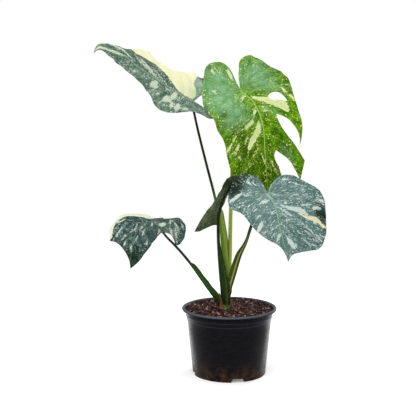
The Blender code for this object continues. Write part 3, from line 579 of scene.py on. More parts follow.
def unit(v):
    v = np.asarray(v, float)
    return v / np.linalg.norm(v, axis=-1, keepdims=True)


def run_along(points):
    """Way from the first point to each point."""
    return np.r_[0, np.cumsum(np.linalg.norm(np.diff(points, axis=0), axis=1))]


def read_at(x, knots, table):
    """The table, which has a row for each knot, read at x."""
    return np.stack([np.interp(x, knots, column) for column in np.transpose(table)], -1)


def smooth_path(points, per_span):
    """Smooth curve through the points, with its slopes set by their neighbours."""
    p = np.array(points, float)
    t = run_along(p)
    m = np.empty_like(p)
    m[1:-1] = (p[2:] - p[:-2]) / (t[2:] - t[:-2])[:, None]
    m[0] = 2 * (p[1] - p[0]) / (t[1] - t[0]) - m[1]
    m[-1] = 2 * (p[-1] - p[-2]) / (t[-1] - t[-2]) - m[-2]
    out = []
    for i in range(len(p) - 1):
        h = t[i + 1] - t[i]
        s = np.linspace(0, 1, per_span, endpoint=(i == len(p) - 2))[:, None]
        out.append((2 * s**3 - 3 * s**2 + 1) * p[i] + (s**3 - 2 * s**2 + s) * h * m[i]
                   + (3 * s**2 - 2 * s**3) * p[i + 1] + (s**3 - s**2) * h * m[i + 1])
    return np.concatenate(out)


class Blade:
    """Carries flat leaf places (x along the midrib, y across) to their places on the bent blade."""

    def __init__(self, spec):
        stations, reach, span = spec["stations"], spec["reach"], 40
        self.path = smooth_path([s[0] for s in stations], span)
        run = run_along(self.path)
        self.x = run - run[span]
        self.knots = self.x[[min(span * i, len(run) - 1) for i in range(len(stations))]]
        ahead, back = [read_at(self.x + way, self.x, self.path) for way in (reach, -reach)]
        self.along = unit(ahead - back)
        self.face = unit([s[1] for s in stations])
        self.turns = np.radians([s[2:] for s in stations])
        self.wave = spec["wave"]

    def bend(self, x, y):
        """Places in millimetres. A curl of nearly nothing is taken as straight."""
        straight, edge = 1e-6, 50
        x, y = np.asarray(x, float), np.asarray(y, float)
        inside = np.clip(x, self.x[0], self.x[-1])
        along = unit(read_at(inside, self.x, self.along))
        across = unit(np.cross(read_at(inside, self.knots, self.face), along))
        up = np.cross(along, across)
        left_fold, right_fold, left_curl, right_curl = read_at(inside, self.knots, self.turns).T
        fold = np.where(y >= 0, right_fold, left_fold)
        curl = np.where(y >= 0, right_curl, left_curl)
        curl = np.where(np.abs(curl) < straight, straight, curl)
        far = np.abs(y)
        out = (np.sin(fold + curl * far) - np.sin(fold)) / curl
        rise = (np.cos(fold) - np.cos(fold + curl * far)) / curl
        height, length = self.wave
        rise = rise + height * np.sin(2 * pi * (x - 0.5 * far) / length) * (far / edge)**2
        place = read_at(inside, self.x, self.path) + along * (x - inside)[:, None]
        return place + across * (np.sign(y) * out)[:, None] + up * rise[:, None]

    def joint(self, depth):
        """Where the petiole ends, inside the midrib just past the notch."""
        here, beside, ahead = self.bend([3.0, 3.0, 4.0], [0.0, 1.0, 0.0])
        return here - depth * unit(np.cross(ahead - here, beside - here))


def linked(name, data):
    """Object in the scene that holds the data."""
    made = bpy.data.objects.new(name, data)
    bpy.context.scene.collection.objects.link(made)
    return made


def outline_mesh(name, spec):
    """Flat filled mesh of the outline, with its hole, in millimetres."""
    curve = bpy.data.curves.new(name, "CURVE")
    curve.dimensions = "2D"
    curve.fill_mode = "BOTH"
    curve.resolution_u = 8
    for loop in filter(None, (spec["outline"], spec["hole"])):
        spline = curve.splines.new("BEZIER")
        spline.bezier_points.add(len(loop) - 1)
        spline.use_cyclic_u = True
        for knot, (x, y, *corner) in zip(spline.bezier_points, loop):
            knot.co = (x, y, 0)
            knot.handle_left_type = knot.handle_right_type = "VECTOR" if corner else "AUTO"
    drawn = linked(name + "_drawn", curve)
    bpy.context.view_layer.update()
    mesh = bpy.data.meshes.new_from_object(drawn.evaluated_get(bpy.context.evaluated_depsgraph_get()))
    bpy.data.objects.remove(drawn)
    return mesh


def gridded(mesh, step, ribs):
    """Cut the flat mesh along a grid and along the midrib, and split it into triangles."""
    same, sliver = 0.01, 0.2
    bm = bmesh.new()
    bm.from_mesh(mesh)
    bmesh.ops.remove_doubles(bm, verts=bm.verts, dist=same)
    bmesh.ops.dissolve_limit(bm, angle_limit=0.01, verts=bm.verts, edges=bm.edges)
    flat = np.array([v.co[:2] for v in bm.verts])
    low, high = flat.min(0), flat.max(0)
    cuts = [((x, 0, 0), (1, 0, 0)) for x in np.arange(np.floor(low[0] / step) * step, high[0], step)]
    rows = [*np.arange(step, high[1], step), *-np.arange(step, -low[1], step), *ribs]
    cuts += [((0, y, 0), (0, 1, 0)) for y in rows]
    for place, normal in cuts:
        everything = bm.verts[:] + bm.edges[:] + bm.faces[:]
        bmesh.ops.bisect_plane(bm, geom=everything, dist=0.0001, plane_co=place, plane_no=normal)
    bmesh.ops.remove_doubles(bm, verts=bm.verts, dist=sliver)
    bmesh.ops.triangulate(bm, faces=bm.faces, quad_method="BEAUTY", ngon_method="EAR_CLIP")
    for face in bm.faces:
        if face.normal.z < 0:
            face.normal_flip()
    bm.to_mesh(mesh)
    bm.free()
    return mesh


def side_veins(length, count):
    """Flat paths of the side veins of the right half, from the basal lobe to the tip."""
    first, last, bend = 2.0, 0.86 * length, 0.22
    starts = [(0.0, 158), (0.5, 128), (1.5, 100)]
    starts += [(first + (last - first) * (k / count)**1.1, 80 - 34 * k / count) for k in range(count + 1)]
    way = np.arange(0, 150, VEIN_STEP)
    paths = []
    for x, angle in starts:
        turn = np.radians(angle - bend * way)
        step = np.stack([np.cos(turn), np.sin(turn)], -1) * VEIN_STEP
        paths.append(np.array([x, 0]) + np.r_[np.zeros((1, 2)), np.cumsum(step[:-1], axis=0)])
    return paths


def from_edges(x, y, start, end):
    """For each place and edge: offset from its start, the edge, the share along it and the distance."""
    offset = np.stack([x, y], -1)[:, None] - start[None]
    edge = end - start
    share = np.clip((offset * edge).sum(-1) / (edge**2).sum(-1), 0, 1)
    return offset, edge, share, np.linalg.norm(offset - edge * share[..., None], axis=-1)


def grain_field(x, y, paths):
    """For places on the right half: way along the side vein, vein number and vein spacing.

    Beyond the first and last vein the spacing is a fixed one.
    """
    beyond, least = 14.0, 0.5
    near, run, ahead = [], [], []
    rows = np.arange(len(x))
    for path in paths:
        offset, edge, share, gap = from_edges(x, y, path[:-1], path[1:])
        best = gap.argmin(1)
        near.append(gap[rows, best])
        run.append(VEIN_STEP * (best + share[rows, best]))
        ahead.append(edge[best, 0] * offset[rows, best, 1] - edge[best, 1] * offset[rows, best, 0] < 0)
    near, run, ahead = np.array(near), np.array(run), np.array(ahead)
    end = len(paths) - 1
    last = np.where(ahead.any(0), end - ahead[::-1].argmax(0), -1)
    low, high = np.clip(last, 0, end), np.clip(last + 1, 0, end)
    d_low, d_high = near[low, rows], near[high, rows]
    spacing = np.where((last < 0) | (last == end), beyond, np.maximum(d_low + d_high, least))
    share = np.where(last < 0, 1 - d_high / spacing, d_low / spacing)
    inner = np.clip(share, 0, 1)
    return run[low, rows] * (1 - inner) + run[high, rows] * inner, last + share, spacing


def depth_in(x, y, patches):
    """Depth inside the nearest patch, in millimetres; negative outside."""
    limit = 9.0
    depth = np.full(len(x), -limit)
    for patch in patches:
        if isinstance(patch, tuple):
            x1, y1, x2, y2, half = patch
            length = np.hypot(x2 - x1, y2 - y1) / 2 + 0.5
            ux, uy = (x2 - x1) / (2 * length), (y2 - y1) / (2 * length)
            dx, dy = x - (x1 + x2) / 2, y - (y1 + y2) / 2
            far = np.sqrt(((dx * ux + dy * uy) / length)**2 + ((dy * ux - dx * uy) / half)**2)
            depth = np.maximum(depth, (1 - far) * half)
        else:
            p = np.array(patch, float)
            q = np.roll(p, -1, 0)
            gap = from_edges(x, y, p, q)[3].min(1)
            spans = (p[:, 1] > y[:, None]) != (q[:, 1] > y[:, None])
            rise = np.where(q[:, 1] == p[:, 1], 1e-9, q[:, 1] - p[:, 1])
            cross = p[:, 0] + (y[:, None] - p[:, 1]) * (q[:, 0] - p[:, 0]) / rise
            inside = (spans & (x[:, None] < cross)).sum(1) % 2 == 1
            depth = np.maximum(depth, np.where(inside, gap, -gap))
    return np.clip(depth, -limit, limit)


def soft_spots(x, y, spots):
    return sum(strength * np.exp(-((x - sx)**2 + (y - sy)**2) / (0.5 * reach**2))
               for sx, sy, reach, strength in spots)


def add_fields(mesh, **fields):
    for name, values in fields.items():
        mesh.attributes.new(name, "FLOAT", "POINT").data.foreach_set("value", np.asarray(values, np.float32))


def add_uv(mesh, name, along, across):
    corners = np.stack([along, across], -1)
    mesh.uv_layers.new(name=name).data.foreach_set("uv", np.asarray(corners, np.float32).ravel())


def new_piece(name, points, faces, outward=False, **fields):
    """Piece from points in metres, faces and the fields that its finish reads."""
    mesh = bpy.data.meshes.new(name)
    mesh.from_pydata([tuple(p) for p in points], [], faces)
    add_fields(mesh, **fields)
    if outward:
        bm = bmesh.new()
        bm.from_mesh(mesh)
        bmesh.ops.recalc_face_normals(bm, faces=bm.faces)
        bm.to_mesh(mesh)
        bm.free()
    return linked(name, mesh)


def tube_faces(first, sides, rings):
    """Faces of a closed tube whose points run ring by ring from the first."""
    last = first + (rings - 1) * sides
    faces = [tuple(reversed(range(first, first + sides))), tuple(range(last, last + sides))]
    for a in range(first, last, sides):
        faces += [(a + i, a + (i + 1) % sides, a + sides + (i + 1) % sides, a + sides + i)
                  for i in range(sides)]
    return faces


def settle(piece):
    """Smooth the piece's faces and let it move with the plant."""
    for face in piece.data.polygons:
        face.use_smooth = True
    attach(piece, "root")


def select_only(obj):
    bpy.ops.object.select_all(action="DESELECT")
    bpy.context.view_layer.objects.active = obj
    obj.select_set(True)


def apply_all(obj):
    select_only(obj)
    for modifier in list(obj.modifiers):
        bpy.ops.object.modifier_apply(modifier=modifier.name)


def make_leaf(name, spec, look):
    """One blade: bent outline, quilting between its side veins, and a ribbed underside."""
    flat_by_midrib, flat_by_tip, wide_vein = 10, 30, 12
    groove, groove_width, rib_width = 0.35, 2.0, 3.2
    mesh = gridded(outline_mesh(name, spec), look.mesh_step / MM, ribs=(-2.6, -1.3, 0.0, 1.3, 2.6))
    x, y = np.array([v.co[:2] for v in mesh.vertices]).T
    blade = Blade(spec)
    length = blade.x[-1]
    along, number, spacing = grain_field(x, np.abs(y), side_veins(length, spec["veins"]))
    places = blade.bend(x, y) * MM
    mesh.vertices.foreach_set("co", places.ravel())
    mesh.update()
    normals = np.array([n.vector[:] for n in mesh.vertex_normals])
    away = np.clip(np.abs(y) / flat_by_midrib, 0, 1) * np.clip((length - x) / flat_by_tip, 0, 1)
    swell = np.sin(pi * number)**2 * np.clip(spacing / wide_vein, 0, 1.3)
    lift = spec["puff"] * look.puff * (swell - 0.5) * away
    lift = lift - groove * np.exp(-(y / groove_width)**2) * np.clip(x / 8, 0, 1)
    mesh.vertices.foreach_set("co", (places + normals * lift[:, None] * MM).ravel())
    corner = np.array([loop.vertex_index for loop in mesh.loops])
    left = np.repeat(y[corner].reshape(-1, 3).mean(1) < 0, 3)
    add_uv(mesh, "flat", x[corner] / MAP_UNIT, y[corner] / MAP_UNIT)
    add_uv(mesh, "grain", along[corner] / MAP_UNIT, np.where(left, LEFT_VEINS, 0.0) + number[corner])
    add_fields(mesh, **{key: depth_in(x, y, spec[key]) for key in ("cream", "mint")},
               **{key: soft_spots(x, y, spec[key]) for key in ("shade", "sheen")}, spacing=spacing)
    piece = linked(name.replace("leaf", "blade"), mesh)
    for upper in (True, False):
        mesh.materials.append(leaf_finish(name, length, upper))
    rib = piece.vertex_groups.new(name="midrib")
    taper = np.clip(1 - x / length, 0, 1) * (x > -0.5)
    for i, weight in enumerate(taper * np.cos(np.clip(np.abs(y) / rib_width, 0, 1) * pi / 2).clip(0, 1)):
        rib.add([i], float(weight), "REPLACE")
    shell = piece.modifiers.new("Thickness", "SOLIDIFY")
    shell.thickness = look.thickness + look.midrib
    shell.offset = -1
    shell.vertex_group = "midrib"
    shell.thickness_vertex_group = look.thickness / shell.thickness
    shell.use_even_offset = False
    shell.material_offset = 1
    apply_all(piece)
    settle(piece)
    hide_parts(name)


def section(radius, wall, channel, opening):
    """Half ring of (across, out) places from a round stalk to a channel between two thin walls."""
    turn, thick = np.radians([0, 20, 40, 62, 90, 122, 152, 180]), 0.8
    round_half = radius * np.stack([np.sin(turn), np.cos(turn)], -1)
    outer = channel + thick
    open_half = np.array([
        (0, -0.1 * radius), (0.55 * channel, 0), (channel, 0.5 * radius), (channel + 0.1, radius + wall),
        (outer - 0.1, radius + wall), (outer, 0.1 * radius), (0.75 * outer, -0.8 * radius), (0, -radius)])
    return smooth_path(round_half + (open_half - round_half) * opening, per_span=4)


def make_stalk(name, spec, look):
    """One petiole along its path: a channelled sheath below, a round stalk and a knee at the blade."""
    joint = Blade(LEAVES[name.replace("petiole", "leaf")]).joint(depth=1.5)
    dense = smooth_path(np.c_[np.array([*spec["path"], joint]), spec["radius"]], per_span=30)
    run = run_along(dense[:, :3])
    share = np.linspace(0, 1, look.rings)
    path = read_at(share * run[-1], run, dense)
    knee_at, knee_width, lip_point, fade_in, ruffle = 0.955, 0.022, 14, 0.08, 0.25
    points, lips = [], []
    for (x, y, z, radius), way, at in zip(path, unit(np.gradient(path[:, :3], axis=0)), share):
        front = unit(spec["open"] - way * np.dot(spec["open"], way))
        side = np.cross(way, front)
        left = np.clip(spec["sheath"] - at, 0, 1)
        opening = np.clip(min(left / spec["taper"], (at - spec["starts"]) / fade_in), 0, 1)
        opening = opening * opening * (3 - 2 * opening)
        wall = spec["wall"] * (0.55 + 0.45 * np.clip(left / 0.4, 0, 1)) + ruffle * sin(46 * at) * opening
        swell = look.knee * np.exp(-((at - knee_at) / knee_width)**2)
        knee = 1 + swell * (1 + 0.05 * sin(1400 * at))
        half = section(radius * knee, wall, spec["channel"], opening)
        ring = np.r_[half, half[-2:0:-1] * (-1, 1)]
        points.append((x, y, z) + np.outer(ring[:, 0], side) + np.outer(ring[:, 1], front))
        lip = np.exp(-((np.arange(len(half)) - lip_point) / 2)**2) * opening
        lips.append(np.r_[lip, lip[-2:0:-1]])
    turn = np.linspace(0, 1, len(half))
    around = np.tile(np.r_[turn, 2 - turn[-2:0:-1]], look.rings)
    piece = new_piece(name.replace("petiole", "stalk"), np.concatenate(points) * MM,
                      tube_faces(0, len(ring), look.rings), outward=True,
                      share=np.repeat(share, len(ring)), around=around, lip=np.concatenate(lips))
    dress_stalk(piece, name, run[-1])
    settle(piece)
    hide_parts(name)


def dress_stalk(piece, name, length):
    """Waxy stalk with lengthwise stripes, a pale band (on stalk A a painted highlight), a pale or dry lip and
    fine flecks.
    """
    low, high, turns, stripe, pale, (middle, half, strength) = STALK_TONES[name]
    skin = Finish(name + "_skin", Roughness=0.36, Specular_IOR_Level=0.08)
    share, around, lip = [skin.field(key) for key in ("share", "around", "lip")]
    place = skin.node("CombineXYZ", {0: skin.times(share, length / MAP_UNIT), 1: around})[0]
    stripes = skin.streaks(place, (1.2, 9, 1), detail=3.0)
    # The pale band; on stalk A it is a painted highlight down the stalk's lit side.
    band = skin.times(skin.ramp(skin.off(skin.maths("PINGPONG", around, 1.0), middle), half, 0.3 * half),
                      skin.ramp(share, turns + 0.12, turns - 0.10), strength,
                      skin.ramp(share, 0.06, 0.22, (0.35, 1.0)))
    flecks = skin.group("Specks", {"Vector": place, "Stretch": (22, 10, 1), "Share": 0.12, "Size": 0.22})[0]
    colour = skin.mix(skin.ramp(share, turns - 0.14, turns + 0.14), shown(low), shown(high))
    colour = skin.mix(skin.times(skin.ramp(stripes, 0.48, 0.62), 0.55), colour, shown(stripe))
    colour = skin.mix(band, colour, shown(pale))
    colour = skin.mix(skin.times(flecks, 0.22), colour, shown((190, 206, 130)))
    colour = skin.mix(skin.times(lip, 0.6), colour, shown(np.mean([stripe, (190, 196, 120)], axis=0)))
    dry = skin.times(skin.ramp(share, 0.16, 0.04), lip, 0.8)
    skin.dress(piece, skin.mix(dry, colour, shown((120, 78, 40))))
    skin.bump(stripes, depth=0.0005, strength=0.6)


def start_mesh(kind, **settings):
    """Add a primitive on its own and open it for editing."""
    bpy.ops.object.select_all(action="DESELECT")
    getattr(bpy.ops.mesh, kind)(**settings)
    bpy.ops.object.mode_set(mode="EDIT")
    bpy.ops.mesh.select_all(action="SELECT")
    return bpy.context.object


def finish_mesh(obj, name):
    """Leave edit mode, settle the mesh at the origin and name the piece."""
    bpy.ops.object.mode_set(mode="OBJECT")
    bpy.ops.object.transform_apply(location=True, rotation=True, scale=True)
    obj.name = name
    obj.data.name = name
    return obj


def ring_stack(name, profile, sides, centre=(0.0, 0.0)):
    """Turned piece: a circle extruded ring by ring along (radius, height), its ends drawn to points."""
    radius, height = profile[0]
    obj = start_mesh("primitive_circle_add", vertices=sides, radius=radius, location=(*centre, height))
    for r, z in profile[1:]:
        bpy.ops.mesh.extrude_edges_move(TRANSFORM_OT_translate={"value": (0, 0, z - height)})
        bpy.ops.transform.resize(value=(r / radius, r / radius, 1), center_override=(*centre, z))
        radius, height = r, z
    bpy.ops.mesh.merge(type="CENTER")
    bpy.ops.mesh.select_all(action="DESELECT")
    bm = bmesh.from_edit_mesh(obj.data)
    for edge in bm.edges:
        if edge.is_boundary:
            edge.select_set(True)
    bmesh.update_edit_mesh(obj.data)
    bpy.ops.mesh.merge(type="CENTER")
    bpy.ops.mesh.select_all(action="SELECT")
    bpy.ops.mesh.normals_make_consistent(inside=False)
    return finish_mesh(obj, name)


def cut_away(obj, tool):
    """Take the tool's shape out of the piece, then remove the tool."""
    cut = obj.modifiers.new("Cut", "BOOLEAN")
    cut.operation = "DIFFERENCE"
    cut.solver = "EXACT"
    cut.object = tool
    apply_all(obj)
    bpy.data.objects.remove(tool)


def make_pot(sizes):
    """Turned wall with a rolled lip and a raised floor, then its notches and drain holes."""
    rim, high, band, step, base = (sizes.rim_radius, sizes.height, sizes.band_radius, sizes.step_radius,
                                   sizes.base_radius)
    foot, pad, drain_ring, drain_radius = 0.0060, 0.0085, 0.042, 0.0035
    first_notch, notch_size, first_drain = radians(-78), (0.014, 0.0225, 0.0058), radians(-33)
    profile = [
        (0.004, foot + WALL), (base - 0.0034, foot + WALL), (base - 0.0018, foot + WALL + 0.0015),
        (step - WALL, 0.0850), (band - WALL - 0.0012, 0.0885), (band - WALL, high - 0.0050),
        (rim - 0.0046, high - 0.0012), (rim - 0.0036, high - 0.0002), (rim - 0.0022, high),
        (rim - 0.0010, high - 0.0005), (rim - 0.0002, high - 0.0014), (rim, high - 0.0024),
        (rim - 0.0003, high - 0.0036), (rim - 0.0012, high - 0.0044), (band + 0.0016, high - 0.0050),
        (band + 0.0002, high - 0.0062), (band - 0.0005, 0.0945), (band - 0.0002, LEDGES[1]),
        (band - 0.0006, 0.0935), (band - 0.0012, 0.0885), (band - 0.0022, LEDGES[0]),
        (step + 0.0004, 0.0856), (step, 0.0846), (step - 0.0009, 0.0760), (base + 0.0006, 0.0090),
        (base + 0.0003, 0.0086), (base, 0.0008), (base - 0.0006, 0.0), (base - 0.0026, 0.0),
        (base - 0.0034, foot), (pad + 0.0008, foot), (pad, 0.0), (0.003, 0.0),
    ]
    pot = ring_stack("nursery_pot", profile, sizes.sides)
    for quarter in range(4):
        angle, ring = first_notch + quarter * pi / 2, base - 0.001
        notch = start_mesh("primitive_cube_add", size=1, rotation=(0, 0, angle),
                           location=(ring * cos(angle), ring * sin(angle), 0.0027), scale=notch_size)
        bm = bmesh.from_edit_mesh(notch.data)
        for v in bm.verts:
            if v.co.z > 0:
                v.co.y *= 0.66
        bmesh.update_edit_mesh(notch.data)
        cut_away(pot, finish_mesh(notch, "notch"))
        angle = first_drain + quarter * pi / 2
        drain = start_mesh("primitive_cylinder_add", vertices=32, radius=drain_radius, depth=0.010,
                           location=(drain_ring * cos(angle), drain_ring * sin(angle), foot + 0.001))
        cut_away(pot, finish_mesh(drain, "drain"))
    dress_pot(pot, sizes)
    select_only(pot)
    bpy.ops.object.shade_smooth_by_angle(angle=radians(38))
    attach(pot, "root")
    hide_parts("pot")


def dress_pot(pot, sizes):
    """Black moulded plastic, scuffed, with a painted highlight on the lip and the ledges, and dusty at the
    foot.
    """
    top, dust_top = sizes.height, 0.034
    skin = Finish("black_polypropylene", Specular_IOR_Level=0.2, Specular_Tint=(0.86, 0.86, 1.0, 1.0))
    place = skin.place()
    height = skin.height()
    cloud, scuffs, pores = [
        skin.group("Rough grain", {"Vector": place, "Stretch": stretch, "Scale": scale, "Detail": detail,
                                   "Roughness": roughness})[0]
        for stretch, scale, detail, roughness in (
            ((1, 1, 1), 70.0, 5.0, 0.65), ((1, 1, 3), 90.0, 6.0, 0.7), ((1, 1, 1), 1400.0, 2.0, 0.5))]
    dust = skin.times(skin.ramp(height, dust_top, 0.0), skin.ramp(cloud, 0.35, 0.7))
    colour = skin.mix(skin.ramp(scuffs, 0.4, 0.7), (*sizes.colour, 1), shown((20, 20, 22)))
    # Painted highlight, partly wear: the top of the lip turns a pale bluish grey.
    colour = skin.mix(skin.ramp(height, top - 0.0036, top - 0.0012, (0, 0.8)), colour, shown((98, 101, 114)))
    # Painted highlight along each ledge.
    for ledge in LEDGES:
        lit = skin.ramp(skin.off(height, ledge), 0.0011, 0.0002, (0, 0.7))
        colour = skin.mix(lit, colour, shown((46, 47, 54)))
    rough = skin.maths("MULTIPLY_ADD", dust, 0.3, skin.ramp(scuffs, 0.3, 0.75, (0.20, 0.34)))
    skin.dress(pot, skin.mix(skin.times(dust, 0.8), colour, shown((84, 60, 44))))
    edge = skin.node("LayerWeight", {"Blend": 0.5})["Facing"]
    sheen = skin.times(skin.ramp(edge, 0.52, 0.98, (0.05, 0.44)),
                       skin.ramp(height, top - 0.002, top - 0.010, (0.1, 1.0)),
                       skin.ramp(height, 0.0, dust_top, (0.5, 1.0)))
    skin.put(Roughness=rough, Specular_IOR_Level=sheen)
    skin.bump(skin.maths("MULTIPLY_ADD", scuffs, 0.6, pores), depth=0.00012, strength=0.8)


def soil_height(x, y):
    """Height of the soil's surface, in metres, before its crumbs."""
    return np.interp(np.hypot(x, y), [0, .020, .040, .058, .0694], [.1041, .1039, .1036, .1032, .1028])


def make_soil_bed(pot):
    """Bed of crumbs that fills the pot up to the surface."""
    edge, step, base = pot.band_radius - WALL - 0.0004, pot.step_radius, pot.base_radius
    profile = [(r, float(soil_height(r, 0))) for r in np.arange(0.002, 0.0685, 0.0022)]
    profile += [(pot.band_radius, 0.1028), (edge - 0.0002, 0.1006), (edge - 0.0013, 0.0886),
                (step - WALL - 0.0006, 0.0850), (base - 0.0022, 0.0094), (base - 0.0040, 0.0080),
                (0.006, 0.0080)]
    bed = ring_stack("soil_bed", profile, sides=120)
    surface = [v.index for v in bed.data.vertices if v.co.z > 0.1020 and v.co.xy.length < 0.0680]
    bed.vertex_groups.new(name="top").add(surface, 1.0, "REPLACE")
    for label, size, strength in (("lumps", 0.011, 0.0030), ("crumbs", 0.0032, 0.0022)):
        clouds = bpy.data.textures.new(label, "CLOUDS")
        clouds.noise_scale = size
        clouds.noise_depth = 2
        shift = bed.modifiers.new(label, "DISPLACE")
        shift.texture = clouds
        shift.texture_coords = "GLOBAL"
        shift.direction = "Z"
        shift.vertex_group = "top"
        shift.strength = strength
        shift.mid_level = 0.55
    apply_all(bed)
    # Near-black to dark brown coir; its darkest tones are partly painted shade in the gaps between the chips.
    skin = Finish("coir_and_gap_shade", Roughness=0.95, Specular_IOR_Level=0.2)
    grit = skin.grain(scale=420.0, detail=4.0, depth=0.001)
    skin.dress(bed, skin.mix(skin.ramp(grit, 0.4, 0.62), shown((10, 6, 6)), shown((44, 26, 22))))
    settle(bed)
    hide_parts("soil")


def chunk_shapes(count, seed, roundness):
    """Broken chunks: small spheres split by flat cuts, as (points, faces)."""
    rng = np.random.default_rng(seed)
    shapes = []
    for _ in range(count):
        obj = start_mesh("primitive_ico_sphere_add", subdivisions=1, radius=1.0)
        for normal in unit(rng.normal(size=(3, 3))):
            bpy.ops.mesh.select_all(action="SELECT")
            bpy.ops.mesh.bisect(plane_co=tuple(normal * roundness), plane_no=tuple(normal), use_fill=True,
                                clear_outer=True)
        bpy.ops.mesh.select_all(action="SELECT")
        bpy.ops.mesh.normals_make_consistent(inside=False)
        finish_mesh(obj, "chunk")
        points = np.array([v.co[:] for v in obj.data.vertices])
        shapes.append((points, [tuple(f.vertices) for f in obj.data.polygons]))
        bpy.data.objects.remove(obj)
    return shapes


def turned_by(rng, count, flatness):
    """Random turns, mostly lying flat."""
    spin = rng.uniform(0, 2 * pi, count)
    tilt = rng.normal(0, flatness, (count, 2))
    return [Matrix.Rotation(a, 3, "Z") @ Matrix.Rotation(p, 3, "X") @ Matrix.Rotation(q, 3, "Y")
            for a, (p, q) in zip(spin, tilt)]


def scatter(name, shapes, places, turns, sizes, tints):
    """One piece of many chunks, each with its own tint."""
    points, faces, tint, start = [], [], [], 0
    for i, (place, turn, size) in enumerate(zip(places, turns, sizes)):
        shape, sides = shapes[i % len(shapes)]
        points.append(shape * size @ np.array(turn).T + place)
        faces += [tuple(start + j for j in side) for side in sides]
        tint += [tints[i]] * len(shape)
        start += len(shape)
    return new_piece(name, np.concatenate(points), faces, tint=tint)


def strewn(rng, count, reach, clear):
    """Random places on the soil inside the wall and clear of the stem."""
    places = []
    while len(places) < count:
        x, y = rng.uniform(-reach, reach, 2)
        if np.hypot(x, y) < reach and np.hypot(x - STEM_AXIS[0], y - STEM_AXIS[1]) > clear:
            places.append((x, y, float(soil_height(x, y))))
    return np.array(places)


def make_bark(sizes):
    """Bark chips over the bed, some of them heaped at the back."""
    rng = np.random.default_rng(sizes.seed)
    count = sizes.chips
    places = strewn(rng, count, reach=0.0674, clear=0.0088)
    long = sizes.chip_size * np.exp(rng.normal(0, 0.38, count)) / 2
    scale = np.stack([long, long * rng.uniform(.45, .8, count), long * rng.uniform(.25, .5, count)], -1)
    places[:, 2] += rng.uniform(-0.0002, 0.0022, count)
    turns = turned_by(rng, count, flatness=0.45)
    tints = rng.uniform(0, 1, count)
    # The first chips become dark lumps heaped against the back of the lip.
    lumps, lump_size = 40, 0.0026
    across = rng.uniform(radians(10), radians(150), lumps)
    out = rng.uniform(0.048, 0.0630, lumps)
    height = rng.uniform(.1042, .1068, lumps)
    places[:lumps] = np.stack([out * np.cos(across), out * np.sin(across), height], -1)
    scale[:lumps] = lump_size * np.array((1, .7, .6)) * rng.uniform(.7, 1.3, (lumps, 1))
    tints[:lumps] *= 0.7
    shapes = chunk_shapes(7, seed=11, roundness=0.45)
    chips = scatter("bark_chips", shapes, places, turns, scale, tints)
    skin = Finish("bark", Roughness=0.6, Specular_IOR_Level=0.14)
    grain = skin.grain(scale=300.0, detail=4.0, stretch=(1, 1, 4))
    bark = skin.node("ValToRGB", {"Fac": skin.field("tint")})[0]
    stops = ((0, (10, 5, 6)), (.38, (34, 17, 17)), (.66, (80, 40, 34)), (.87, (134, 80, 62)),
             (1, (212, 166, 144)))
    shades = bark.node.color_ramp.elements
    for _ in stops[2:]:
        shades.new(0.5)
    for shade, (at, colour) in zip(shades, stops):
        shade.position = at
        shade.color = shown(colour)
    skin.dress(chips, skin.mix(skin.ramp(grain, .35, .65, (.45, 0)), bark, shown((36, 22, 18))))
    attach(chips, "root")


def make_perlite(sizes):
    """White grains of expanded rock among the bark."""
    rng = np.random.default_rng(sizes.seed + 1)
    count, above = sizes.perlite, 0.0016
    places = strewn(rng, count, reach=0.0655, clear=0.010)
    places[:, 2] += above
    size = rng.uniform(0.0006, 0.0016, (count, 1)) * rng.uniform(.75, 1.1, (count, 3))
    shapes = chunk_shapes(4, seed=23, roundness=0.72)
    turns = turned_by(rng, count, flatness=1.5)
    grains = scatter("perlite", shapes, places, turns, size, rng.uniform(0, 1, count))
    skin = Finish("perlite", Roughness=0.9)
    foam = skin.grain(scale=900.0, detail=3.0)
    skin.dress(grains, skin.mix(skin.ramp(foam, .35, .6), shown((150, 134, 124)), shown((232, 226, 220))))
    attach(grains, "root")


def make_fibres(sizes):
    """Coir fibres: thin three-sided strands that curl over the surface."""
    rng = np.random.default_rng(sizes.seed + 2)
    rings, sides, thick, above = 7, 3, 0.00016, 0.0012
    t = np.linspace(0, 1, rings)
    points, faces, tint = [], [], []
    for x0, y0, _ in strewn(rng, sizes.fibres, reach=0.058, clear=0.009):
        heading, bend = rng.uniform(0, 2 * pi), rng.normal(0, 140)
        length, arch = rng.uniform(0.004, 0.013), rng.uniform(0.0004, 0.0022)
        turn = heading + bend * length * t
        x = x0 + np.r_[0, np.cumsum(np.cos(turn[:-1]))] * length / (rings - 1)
        y = y0 + np.r_[0, np.cumsum(np.sin(turn[:-1]))] * length / (rings - 1)
        z = soil_height(x, y) + above + arch * np.sin(pi * t)
        faces += tube_faces(len(points), sides, rings)
        for i in range(rings):
            side = np.array([-sin(turn[i]), cos(turn[i]), 0])
            for a in np.arange(sides) * 2 * pi / sides:
                out = side * cos(a) + np.array([0, 0, sin(a)])
                points.append(np.array([x[i], y[i], z[i]]) + thick * (1 - 0.5 * t[i]) * out)
        tint += [rng.uniform()] * rings * sides
    strands = new_piece("coir_fibres", points, faces, tint=tint)
    skin = Finish("coir_fibre", Roughness=0.8)
    skin.dress(strands, skin.mix(skin.field("tint"), shown((70, 42, 30)), shown((168, 118, 80))))
    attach(strands, "root")


